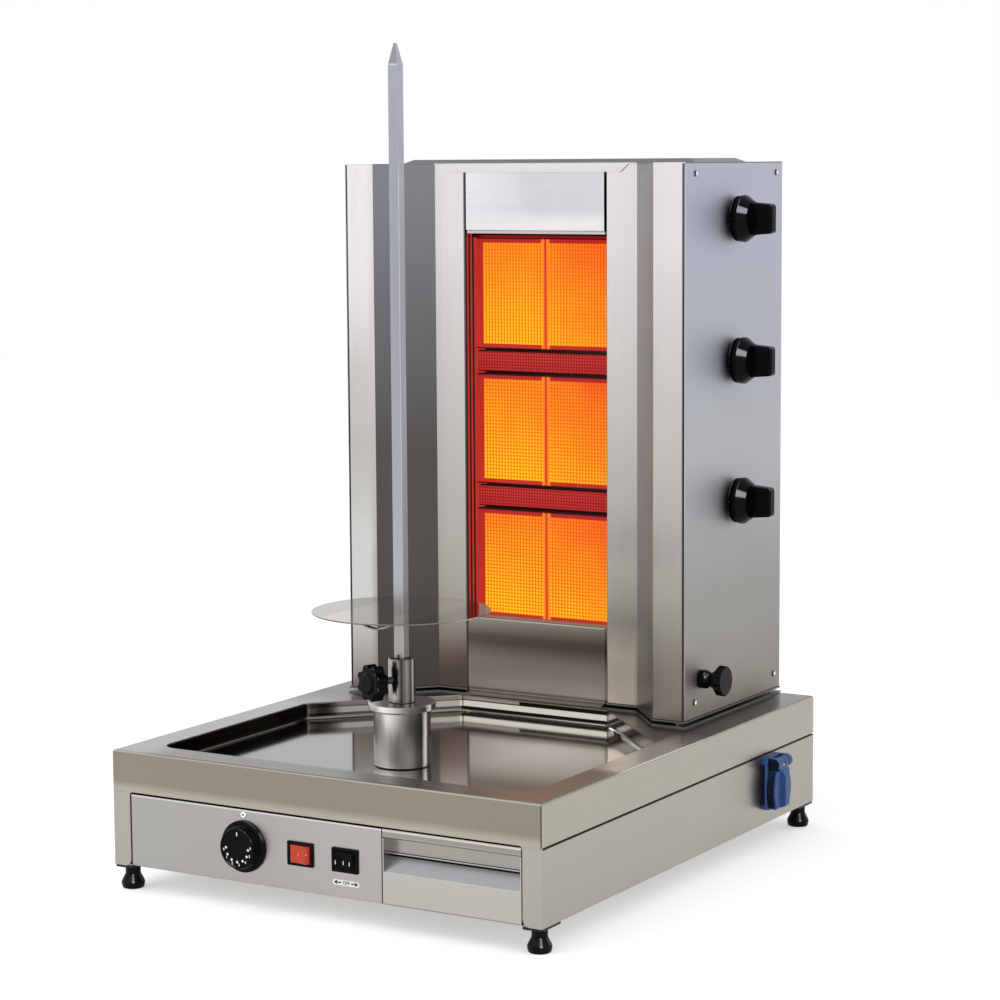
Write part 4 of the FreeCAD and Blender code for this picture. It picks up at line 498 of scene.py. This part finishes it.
# painted light and shade on the fasciae: lighter and darker bands by height, painted highlights, painted dark
# shade with a painted red reflection of the burners on the faces set back under the upper fascia, and darker at
# the bottom
fasciaLightAndShade = [
    {"tone": screenTone(150, 143, 134), "along": [(up, 0.176, 0.2)]},
    {"tone": screenTone(93, 83, 76), "along": [(up, 0.2, 0.222)]},
    {"tone": screenTone(142, 135, 127), "along": [(up, 0.23, 0.25)]},
    {"tone": screenTone(197, 194, 200), "along": [(up, 0.4, 0.5)]},
    {"tone": screenTone(202, 199, 204), "along": [(up, 0.715, 0.76)]},
    {"tone": screenTone(214, 215, 219), "along": [(left, 0.0, 0.08), (up, 0.5, 0.51)]},
    {"tone": screenTone(218, 217, 216), "along": [(up, 0.735, 0.72), (up, 0.5, 0.51)]},
    {"tone": screenTone(30, 8, 8), "along": [(back, 0.1335, 0.1342), (up, 0.5, 0.51)]},
    {"tone": screenTone(186, 184, 184), "along": [(back, 0.1335, 0.1342), (back, 0.142, 0.14),
                                                  (up, 0.7056, 0.7062)]},
    {"tone": screenTone(140, 26, 26), "along": [(back, 0.149, 0.15), (up, 0.7045, 0.7035)]},
    {"tone": screenTone(120, 114, 108), "along": [(up, 0.1675, 0.1655)]},
]
# painted light: the side and rear panels lighter and bluer higher up, darker towards the bottom
sideLightAndShade = [
    {"tone": screenTone(159, 157, 154), "along": [(up, 0.18, 0.26)]},
    {"tone": screenTone(179, 181, 187), "along": [(up, 0.3, 0.45)]},
    {"tone": screenTone(182, 184, 199), "along": [(up, 0.5, 0.75)]},
]
# painted highlights on the shoulders of black plastic, where it turns up to the left and to the right
glossSpots = [
    {"tone": (0.34, 0.36, 0.39), "facing": ((0.57, -0.735, 0.36), 0.985, 0.993)},
    {"tone": (0.13, 0.14, 0.155), "facing": ((0.30, -0.66, 0.69), 0.955, 0.985)},
    {"tone": (0.05, 0.053, 0.06), "facing": ((0.86, 0.05, 0.5), 0.965, 0.99)},
]
# painted reflections round the polished shafts: heading in degrees, level of grey, and how metallic they are
# where a lamp shows white as a painted highlight
pedestalReflections = [(-180, 150), (-90, 240, 0.6), (-55, 130), (-15, 60), (-4, 250, 0.1), (5, 80), (90, 150)]
sleeveReflections = [(-180, 80), (-90, 170), (-60, 45), (-35, 130), (-15, 45), (-2, 210, 0.2), (8, 40), (90, 110)]

finishes = {
    "hoodSteel": steelFinish("hoodSteel", screenTone(163, 160, 152), hoodLightAndShade, roughness=0.28, cloudTint=0.1),
    # painted shade on the chassis: darker on its top faces, and a painted black line of shadow at its top under
    # the hood
    "chassisSteel": steelFinish("chassisSteel", screenTone(163, 158, 150), [
        {"tone": screenTone(128, 125, 120), "facing": onTop},
        {"tone": screenTone(24, 20, 16), "along": [(up, 0.1080, 0.1086)]}]),
    # painted light and shade on the control panel: lighter to the right, a painted highlight line under a
    # painted black line of shadow along its top, and a painted dark line of shade at its left edge
    "panelSteel": steelFinish("panelSteel", screenTone(162, 160, 155), [
        {"tone": screenTone(169, 164, 163), "along": [(right, -0.2, 0.05)]},
        {"tone": screenTone(198, 196, 198), "along": [(up, 0.1064, 0.1070)]},
        {"tone": screenTone(18, 14, 12), "along": [(up, 0.1080, 0.1086)]},
        {"tone": screenTone(60, 54, 48), "along": [(left, 0.2451, 0.2457)]}], roughness=0.34),
    # painted light and shade on the drawer front: its lip, top and front lighter or darker by band, darker on
    # faces that look up and down, and a painted highlight line under a painted black line of shadow at its top
    "drawerSteel": steelFinish("drawerSteel", screenTone(176, 174, 168), [
        {"tone": screenTone(159, 153, 146), "facing": (forward, 0.7, 0.95), "along": [(up, 0.0985, 0.1005)]},
        {"tone": screenTone(124, 125, 127), "facing": (up, 0.3, 0.6)},
        {"tone": screenTone(151, 148, 142), "facing": (forward, 0.7, 0.95), "along": [(back, -0.314, -0.312)]},
        {"tone": screenTone(143, 139, 134), "along": [(up, 0.1015, 0.1025)]},
        {"tone": screenTone(196, 193, 188), "along": [(up, 0.1058, 0.1066), (up, 0.1083, 0.1077)]},
        {"tone": screenTone(18, 14, 12), "facing": ((0.0, -0.6, 0.8), 0.93, 0.99),
         "along": [(up, 0.1083, 0.1089)]},
        {"tone": screenTone(96, 90, 82), "facing": (down, 0.3, 0.6)}], roughness=0.28),
    "cheekSteel": steelFinish("cheekSteel", screenTone(132, 123, 115), cheekLightAndShade, roughness=0.3,
                              upright=(700.0, 700.0, 4.0), glow=revealGlow, glowLevel=0.9),
    "sideSteel": steelFinish("sideSteel", screenTone(150, 143, 136), sideLightAndShade, roughness=0.56,
                             upright=(5.0, 700.0, 30.0), cloudTint=0.16),
    # painted light and shade: the roof darker, its faces that look forward lighter
    "roofSteel": steelFinish("roofSteel", screenTone(110, 108, 111),
                             [{"tone": screenTone(206, 203, 203), "facing": (forward, 0.9, 0.98)}],
                             roughness=0.35),
    "fasciaSteel": steelFinish("fasciaSteel", screenTone(172, 166, 158), fasciaLightAndShade, roughness=0.3,
                               cloudTint=0.2, cloudScale=11.0),
    "panMirror": steelFinish("panMirror", screenTone(125, 122, 120), panLightAndShade, roughness=0.09,
                             roughnessSpread=0.05, grainTint=0.05, cloudTint=0.14, bumpStrength=0.03),
    "pedestalSteel": turnedFinish("pedestalSteel", pedestalReflections, screenTone(190, 186, 182), roughness=0.22,
                                  foot=(0.1382, 0.1376)),
    "sleeveSteel": turnedFinish("sleeveSteel", sleeveReflections, screenTone(132, 127, 122), roughness=0.22),
    "indexSteel": steelFinish("indexSteel", screenTone(252, 252, 250), roughness=0.5, grainTint=0.0,
                              cloudTint=0.0),
    # the screws are dark, with a painted highlight on their faces that look right
    "screwSteel": steelFinish("screwSteel", screenTone(62, 58, 55),
                              [{"tone": screenTone(232, 230, 228), "facing": (right, 0.93, 0.98)}],
                              roughness=0.2),
    # painted reflections on the spit rod: lighter and bluer from the middle up, darker again near the top, and
    # darker on faces that look forward
    "rodSteel": steelFinish("rodSteel", screenTone(206, 204, 206), [
        {"tone": screenTone(222, 224, 232), "along": [(up, 0.32, 0.5)]},
        {"tone": screenTone(170, 173, 184), "along": [(up, 0.77, 0.80)]},
        {"tone": screenTone(150, 146, 143), "facing": onFront},
        {"tone": screenTone(158, 161, 170), "facing": onFront, "along": [(up, 0.30, 0.34)]},
        {"tone": screenTone(112, 114, 120), "facing": onFront, "along": [(up, 0.8925, 0.8945)]}],
        roughness=0.24, upright=(700.0, 700.0, 6.0)),
    # painted reflections and shade on the meat disc: its top darker at both ends, and its faces that look
    # forward darker
    "discMirror": steelFinish("discMirror", screenTone(180, 172, 165), [
        {"tone": screenTone(136, 128, 120), "facing": onTop, "along": [(right, 0.04, 0.06)]},
        {"tone": screenTone(150, 145, 140), "facing": onTop, "along": [(left, 0.048, 0.053)]},
        {"tone": screenTone(112, 108, 104), "facing": (forward, 0.2, 0.5)}],
        roughness=0.07, roughnessSpread=0.04, grainTint=0.05, bumpStrength=0.03),
    "innerSteel": steelFinish("innerSteel", screenTone(120, 118, 115), roughness=0.42),
    "drawerBoxSteel": steelFinish("drawerBoxSteel", screenTone(150, 148, 145), roughness=0.36),
    "bronze": steelFinish("bronze", (0.2, 0.15, 0.09), roughness=0.3, upright=(60.0, 60.0, 900.0)),
    "pipeBrass": steelFinish("pipeBrass", (0.5, 0.36, 0.14), roughness=0.3),
    "blackGloss": mouldedFinish("blackGloss", (0.0025, 0.0025, 0.003), roughness=0.2, dustAmount=0.008,
                                specular=0.06, layers=glossSpots),
    "blackSatin": mouldedFinish("blackSatin", (0.003, 0.003, 0.0035), roughness=0.4, dustAmount=0.015,
                                specular=0.06),
    "footRubber": mouldedFinish("footRubber", (0.003, 0.003, 0.0035), roughness=0.36, dustAmount=0.02,
                                specular=0.08, layers=glossSpots),
    "blackPaint": mouldedFinish("blackPaint", (0.008, 0.008, 0.008), roughness=0.45, dustAmount=0.05,
                                specular=0.2),
    "castHousing": mouldedFinish("castHousing", (0.3, 0.31, 0.32), roughness=0.55, bumpStrength=0.4),
    "redRocker": mouldedFinish("redRocker", (0.56, 0.055, 0.026), roughness=0.28, dustTone=(0.75, 0.12, 0.04),
                               dustAmount=0.3, specular=0.2),
    # painted shade on faces that look forward, and painted highlights on faces that look right
    "blueSocket": mouldedFinish("blueSocket", (0.036, 0.085, 0.27), roughness=0.26, dustTone=(0.07, 0.15, 0.38),
                                dustAmount=0.35, specular=0.14, layers=[
        {"tone": (0.003, 0.006, 0.02), "facing": (forward, 0.86, 0.97)},
        {"tone": (0.085, 0.18, 0.42), "facing": ((0.86, 0.5, 0.0), 0.9, 0.98)},
        {"tone": (0.085, 0.18, 0.42), "facing": ((0.92, -0.38, 0.0), 0.975, 0.99)}]),
    "tileGlow": glowFinish("tileGlow", screenTone(255, 207, 22), screenTone(255, 88, 30),
                           screenTone(238, 104, 12), holeShare=0.4, riseShare=0.8, sideShare=0.36,
                           strength=1.04),
    "frameGlow": glowFinish("frameGlow", screenTone(196, 46, 36), screenTone(176, 34, 34),
                            screenTone(140, 22, 26), holeShare=0.15, edge=(0.394, 0.402),
                            bars=((0.006, screenTone(246, 128, 30)), (0.0019, screenTone(206, 52, 32)))),
    "wireGlow": glowFinish("wireGlow", screenTone(228, 112, 16), screenTone(216, 66, 22),
                           screenTone(200, 80, 14), holeShare=0.1),
    "baffleGlow": glowFinish("baffleGlow", screenTone(206, 52, 46), screenTone(196, 42, 40),
                             screenTone(112, 16, 18), holePitch=0.0036, holeShare=0.8, edge=(0.433, 0.428)),
}

finishOf = {
    "hoodSteel": ["base_hood"],
    "chassisSteel": ["base_chassis"],
    "panelSteel": ["control_panel"],
    "drawerSteel": ["drawer_front"],
    "cheekSteel": ["cheek_left", "cheek_right"],
    "sideSteel": ["side_panel_left", "side_panel_right", "rear_panel"],
    "roofSteel": ["roof"],
    "fasciaSteel": ["upper_fascia", "lower_fascia"],
    "panMirror": ["drip_pan"],
    "pedestalSteel": ["pedestal", "pedestal_cap"],
    "sleeveSteel": ["spit_sleeve", "output_shaft", "clamp_screw"],
    "screwSteel": ["tower_screws"],
    "indexSteel": ["dial_index"],
    "rodSteel": ["spit_rod"],
    "discMirror": ["meat_disc"],
    "innerSteel": ["drawer_runners", "motor_bracket", "slide_base", "tower_base", "burner_housings"],
    "drawerBoxSteel": ["drawer_box"],
    "bronze": ["shaft_bush"],
    "pipeBrass": ["gas_valves", "gas_pipework", "gas_inlet", "valve_stem_low", "valve_stem_middle",
                  "valve_stem_high"],
    "blackGloss": ["gas_knob_low", "gas_knob_middle", "gas_knob_high", "knob_bezels", "clamp_knob",
                   "tower_lock", "dial_knob", "direction_rocker"],
    "blackSatin": ["motor_switch", "direction_switch", "regulator"],
    "footRubber": ["foot_front_left", "foot_front_right", "foot_rear_left", "foot_rear_right"],
    "blackPaint": ["foot_plates", "drive_motor"],
    "castHousing": ["gearbox"],
    "redRocker": ["motor_rocker"],
    "blueSocket": ["power_socket", "socket_lid"],
    "tileGlow": ["burner_tiles"],
    "frameGlow": ["burner_frames"],
    "wireGlow": ["burner_mesh"],
    "baffleGlow": ["burner_baffles"],
}
for finish, members in finishOf.items():
    for member in members:
        nodes[member].data.materials.clear()
        nodes[member].data.materials.append(finishes[finish])
print("finishes placed:", len(finishes))


def finishPiece(name, shape, material, body):
    mesh = bpy.data.meshes.new(name)
    bmesh.ops.recalc_face_normals(shape, faces=shape.faces)
    shape.to_mesh(mesh)
    shape.free()
    mesh.materials.append(material)
    piece = bpy.data.objects.new(name, mesh)
    bpy.context.scene.collection.objects.link(piece)
    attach(piece, body)
    return piece


wordLook = {"sizeOverHeight": 1.4, "curveSteps": 2}


def addWords(shape, words, height, place, thickness, weight=0.00012):
    # words stand upright and look forward; their curve becomes a mesh before it is placed
    curve = bpy.data.curves.new("words", "FONT")
    curve.body = words
    curve.size = height * wordLook["sizeOverHeight"]
    curve.align_x = "CENTER"
    curve.align_y = "CENTER"
    curve.extrude = thickness / 2
    curve.offset = weight
    curve.resolution_u = wordLook["curveSteps"]
    holder = bpy.data.objects.new("words", curve)
    bpy.context.scene.collection.objects.link(holder)
    bpy.context.view_layer.update()
    letters = bpy.data.meshes.new_from_object(holder)
    letters.transform(Matrix.Translation(place) @ Matrix.Rotation(math.radians(90), 4, "X"))
    shape.from_mesh(letters)
    bpy.data.objects.remove(holder)
    bpy.data.curves.remove(curve)
    bpy.data.meshes.remove(letters)


def addBar(shape, size, place):
    bmesh.ops.create_cube(shape, size=1.0, matrix=Matrix.Translation(place) @ Matrix.Diagonal((*size, 1.0)))


def addDot(shape, radius, thickness, place, direction=forward, segments=16):
    turn = Vector(up).rotation_difference(Vector(direction)).to_matrix().to_4x4()
    bmesh.ops.create_cone(shape, cap_ends=True, segments=segments, radius1=radius, radius2=radius,
                          depth=thickness, matrix=Matrix.Translation(place) @ turn)


# white for print, and for the painted highlight on the lid's rivet
printAndGlintWhite = mouldedFinish("printAndGlintWhite", (0.86, 0.86, 0.84), roughness=0.5, dustAmount=0.1,
                           dustTone=(0.6, 0.6, 0.58))
printGrey = mouldedFinish("printGrey", (0.2, 0.2, 0.2), roughness=0.5, dustAmount=0.2)
rockerGlint = mouldedFinish("rockerGlint", (0.86, 0.36, 0.16), roughness=0.4)
printBlack = mouldedFinish("printBlack", (0.002, 0.002, 0.002), roughness=0.5, dustAmount=0.05, specular=0.2)

dialPrint = {"centre": (-0.095, 0.069), "dish": 0.0008, "thickness": 0.0002, "dotRadius": 0.0014,
             "dotRing": 0.01435, "digitRing": 0.0174, "digitHeight": 0.0028, "pointerRing": 0.0158,
             "pointerSize": (0.0013, 0.0002, 0.0042), "settings": 7, "settingTurn": 30, "firstDot": 180,
             "firstDigit": 188}


def buildDialPrint():
    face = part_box("dial_knob")[0][1] + dialPrint["dish"]
    cx, cz = dialPrint["centre"]
    shape = bmesh.new()
    for n in range(dialPrint["settings"]):
        angle = math.radians(dialPrint["firstDot"] + dialPrint["settingTurn"] * n)
        addDot(shape, dialPrint["dotRadius"], dialPrint["thickness"],
               (cx + dialPrint["dotRing"] * math.cos(angle), face, cz + dialPrint["dotRing"] * math.sin(angle)))
    addBar(shape, dialPrint["pointerSize"], (cx, face, cz + dialPrint["pointerRing"]))
    finishPiece("dial_print", shape, printAndGlintWhite, "speed_dial")
    shape = bmesh.new()
    for n in range(dialPrint["settings"]):
        angle = math.radians(dialPrint["firstDigit"] + dialPrint["settingTurn"] * n)
        place = (cx + dialPrint["digitRing"] * math.cos(angle), face,
                 cz + dialPrint["digitRing"] * math.sin(angle))
        addWords(shape, str(n), dialPrint["digitHeight"], place, dialPrint["thickness"])
    finishPiece("dial_digits", shape, printAndGlintWhite, "speed_dial")


indexDot = {"radius": 0.0011, "thickness": 0.0002, "proud": 0.00004}


def buildIndexDot():
    low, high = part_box("dial_index")
    shape = bmesh.new()
    addDot(shape, indexDot["radius"], indexDot["thickness"],
           ((low[0] + high[0]) / 2, low[1] - indexDot["proud"] + indexDot["thickness"] / 2,
            (low[2] + high[2]) / 2))
    finishPiece("index_dot", shape, printBlack, "base")


directionLabel = {"centre": (0.0348, 0.0454), "size": (0.0335, 0.0060), "corner": 0.0028, "thickness": 0.0002,
                  "proud": 0.00002, "arrowRadius": 0.0028, "arrowReach": 0.0125,
                  "dash": (0.0042, 0.0002, 0.0014), "dashReach": 0.0084, "letterHeight": 0.0036,
                  "cornerSteps": 5, "arrowSides": 3}


def buildDirectionLabel():
    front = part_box("control_panel")[0][1]
    cx, cz = directionLabel["centre"]
    wide, tall = directionLabel["size"]
    thick, proud = directionLabel["thickness"], directionLabel["proud"]
    face = front - proud + thick / 2
    shape = bmesh.new()
    addBar(shape, (wide, thick, tall), (cx, face, cz))
    corners = [e for e in shape.edges if abs((e.verts[0].co - e.verts[1].co).y) > thick / 2]
    bmesh.ops.bevel(shape, geom=corners, offset=directionLabel["corner"], offset_type="OFFSET", affect="EDGES",
                    segments=directionLabel["cornerSteps"], profile=0.5, material=-1)
    finishPiece("direction_label", shape, printAndGlintWhite, "base")
    face -= proud
    shape = bmesh.new()
    for sign in (-1, 1):
        tip = Matrix.Translation((cx + sign * directionLabel["arrowReach"], face, cz))
        tip = tip @ Matrix.Rotation(math.radians(90), 4, "X")
        tip = tip @ Matrix.Rotation(math.radians(-90 * sign), 4, "Z")
        bmesh.ops.create_cone(shape, cap_ends=True, segments=directionLabel["arrowSides"],
                              radius1=directionLabel["arrowRadius"], radius2=directionLabel["arrowRadius"],
                              depth=thick, matrix=tip)
        addBar(shape, directionLabel["dash"], (cx + sign * directionLabel["dashReach"], face, cz))
    addWords(shape, "OFF", directionLabel["letterHeight"], (cx, face, cz), thick)
    finishPiece("direction_words", shape, printBlack, "base")


rockerPrint = {"height": 0.0675, "marks": (-0.0096, -0.0004, 0.0077), "size": (0.0009, 0.0002, 0.0042),
               "proud": 0.00004}


def buildRockerPrint():
    low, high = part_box("direction_rocker")
    wide, thick, tall = rockerPrint["size"]
    shape = bmesh.new()
    for mark in rockerPrint["marks"]:
        x = (low[0] + high[0]) / 2 + mark
        fronts = [nodes["direction_rocker"].ray_cast((x + aside, -1.0, rockerPrint["height"]), back)[1].y
                  for aside in (-wide / 2, 0.0, wide / 2)]
        face = min(fronts) - rockerPrint["proud"] + thick / 2
        addBar(shape, rockerPrint["size"], (x, face, rockerPrint["height"]))
    finishPiece("rocker_print", shape, printAndGlintWhite, "direction_rocker")


motorGlints = {"places": ((-0.0234, 0.0696), (-0.0121, 0.0705)), "radius": 0.0009, "thickness": 0.0002,
              "proud": 0.00004}


def buildMotorPrint():
    # two pale dots on the red rocker, painted highlights
    shape = bmesh.new()
    for x, z in motorGlints["places"]:
        spot, normal = nodes["motor_rocker"].ray_cast((x, -1.0, z), back)[1:3]
        addDot(shape, motorGlints["radius"], motorGlints["thickness"],
               spot + normal * (motorGlints["proud"] - motorGlints["thickness"] / 2), normal)
    finishPiece("motor_glints", shape, rockerGlint, "motor_rocker")


# a rivet head on the lid's strap, its white a painted highlight
lidRivetGlint = {"place": (0.2017, 0.0983), "radius": 0.0012, "thickness": 0.0003, "proud": 0.00004}


def buildLidRivet():
    y, z = lidRivetGlint["place"]
    spot, normal = nodes["socket_lid"].ray_cast((1.0, y, z), left)[1:3]
    shape = bmesh.new()
    addDot(shape, lidRivetGlint["radius"], lidRivetGlint["thickness"],
           spot + normal * (lidRivetGlint["proud"] - lidRivetGlint["thickness"] / 2), normal)
    finishPiece("lid_rivet_glint", shape, printAndGlintWhite, "socket_lid")


bezelPrint = {"ring": 0.0235, "headings": (90, 180, 270), "radius": 0.0008, "sides": 10, "thickness": 0.0002,
              "proud": 0.00004}


def buildBezelPrint():
    # pale setting marks round each gas knob
    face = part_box("knob_bezels")[1][0] + bezelPrint["proud"] - bezelPrint["thickness"] / 2
    shape = bmesh.new()
    for knob in ("gas_knob_low", "gas_knob_middle", "gas_knob_high"):
        low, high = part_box(knob)
        for degrees in bezelPrint["headings"]:
            angle = math.radians(degrees)
            place = (face, (low[1] + high[1]) / 2 + bezelPrint["ring"] * math.cos(angle),
                     (low[2] + high[2]) / 2 + bezelPrint["ring"] * math.sin(angle))
            addDot(shape, bezelPrint["radius"], bezelPrint["thickness"], place, right, bezelPrint["sides"])
    finishPiece("bezel_print", shape, printGrey, "tower")


buildDialPrint()
buildIndexDot()
buildDirectionLabel()
buildRockerPrint()
buildMotorPrint()
buildLidRivet()
buildBezelPrint()
print("printed marks made")

studio = {"floorSize": 12.0, "floorTone": (0.86, 0.86, 0.86), "floorRoughness": 0.9, "floorSpecular": 0.1,
          "floorLift": 0.4, "worldLevel": 0.75, "lampAim": (0.0, 0.0, 0.4), "keyPower": 38.0,
          "keyPlace": (-1.6, -2.4, 2.6), "keySize": 3.4, "fillPower": 16.0, "fillPlace": (2.6, -1.6, 1.8),
          "fillSize": 3.0}


def whiteForCamera(tree, place, lowStrength, level):
    # white to the eye, to metal and to glass; a plain level for the light itself
    path = addNode(tree, "ShaderNodeLightPath", place)
    seen = mathNode(tree, (place[0] + 200, place[1]), "MAXIMUM", path.outputs["Is Camera Ray"],
                    path.outputs["Is Glossy Ray"])
    seen = mathNode(tree, (place[0] + 400, place[1]), "MAXIMUM", seen, path.outputs["Is Transmission Ray"])
    return mathNode(tree, (place[0] + 600, place[1]), "MULTIPLY_ADD", seen, level - lowStrength, lowStrength)


def buildStudio():
    mesh = bpy.data.meshes.new("floor")
    shape = bmesh.new()
    bmesh.ops.create_grid(shape, x_segments=1, y_segments=1, size=studio["floorSize"] / 2)
    shape.to_mesh(mesh)
    shape.free()
    floor = bpy.data.objects.new("floor", mesh)
    bpy.context.scene.collection.objects.link(floor)
    material, tree, shader, coords = startMaterial("floorPaper")
    shader.inputs["Base Color"].default_value = (*studio["floorTone"], 1.0)
    shader.inputs["Roughness"].default_value = studio["floorRoughness"]
    shader.inputs["Specular IOR Level"].default_value = studio["floorSpecular"]
    shader.inputs["Emission Color"].default_value = (1.0, 1.0, 1.0, 1.0)
    tree.links.new(whiteForCamera(tree, (-600, -300), 0.0, studio["floorLift"]),
                   shader.inputs["Emission Strength"])
    mesh.materials.append(material)

    world = bpy.data.worlds.new("studioWorld")
    bpy.context.scene.world = world
    world.use_nodes = True
    background = world.node_tree.nodes["Background"]
    background.inputs["Color"].default_value = (1.0, 1.0, 1.0, 1.0)
    level = whiteForCamera(world.node_tree, (-900, 0), studio["worldLevel"], 1.0)
    world.node_tree.links.new(level, background.inputs["Strength"])

    for name in ("key", "fill"):
        data = bpy.data.lights.new(name + "Lamp", "AREA")
        data.energy = studio[name + "Power"]
        data.size = studio[name + "Size"]
        lamp = bpy.data.objects.new(name + "Lamp", data)
        lamp.location = studio[name + "Place"]
        lamp.rotation_euler = (Vector(studio["lampAim"]) - lamp.location).to_track_quat("-Z", "Y").to_euler()
        bpy.context.scene.collection.objects.link(lamp)


eye = {"place": (1.623, -2.6715, 0.790), "yaw": 30.8, "pitch": 6.93, "roll": -0.36, "lens": 100.26,
       "sensor": 36.0, "reach": 50.0}


def placeCamera():
    data = bpy.data.cameras.new("eye")
    data.lens = eye["lens"]
    data.sensor_width = eye["sensor"]
    data.clip_end = eye["reach"]
    camera = bpy.data.objects.new("eye", data)
    turn = (Matrix.Rotation(math.radians(eye["yaw"]), 4, "Z")
            @ Matrix.Rotation(math.radians(90 - eye["pitch"]), 4, "X")
            @ Matrix.Rotation(math.radians(eye["roll"]), 4, "Z"))
    camera.matrix_world = Matrix.Translation(eye["place"]) @ turn
    bpy.context.scene.collection.objects.link(camera)
    bpy.context.scene.camera = camera


buildStudio()
placeCamera()
bpy.context.scene.view_settings.view_transform = "Standard"
print("studio ready")
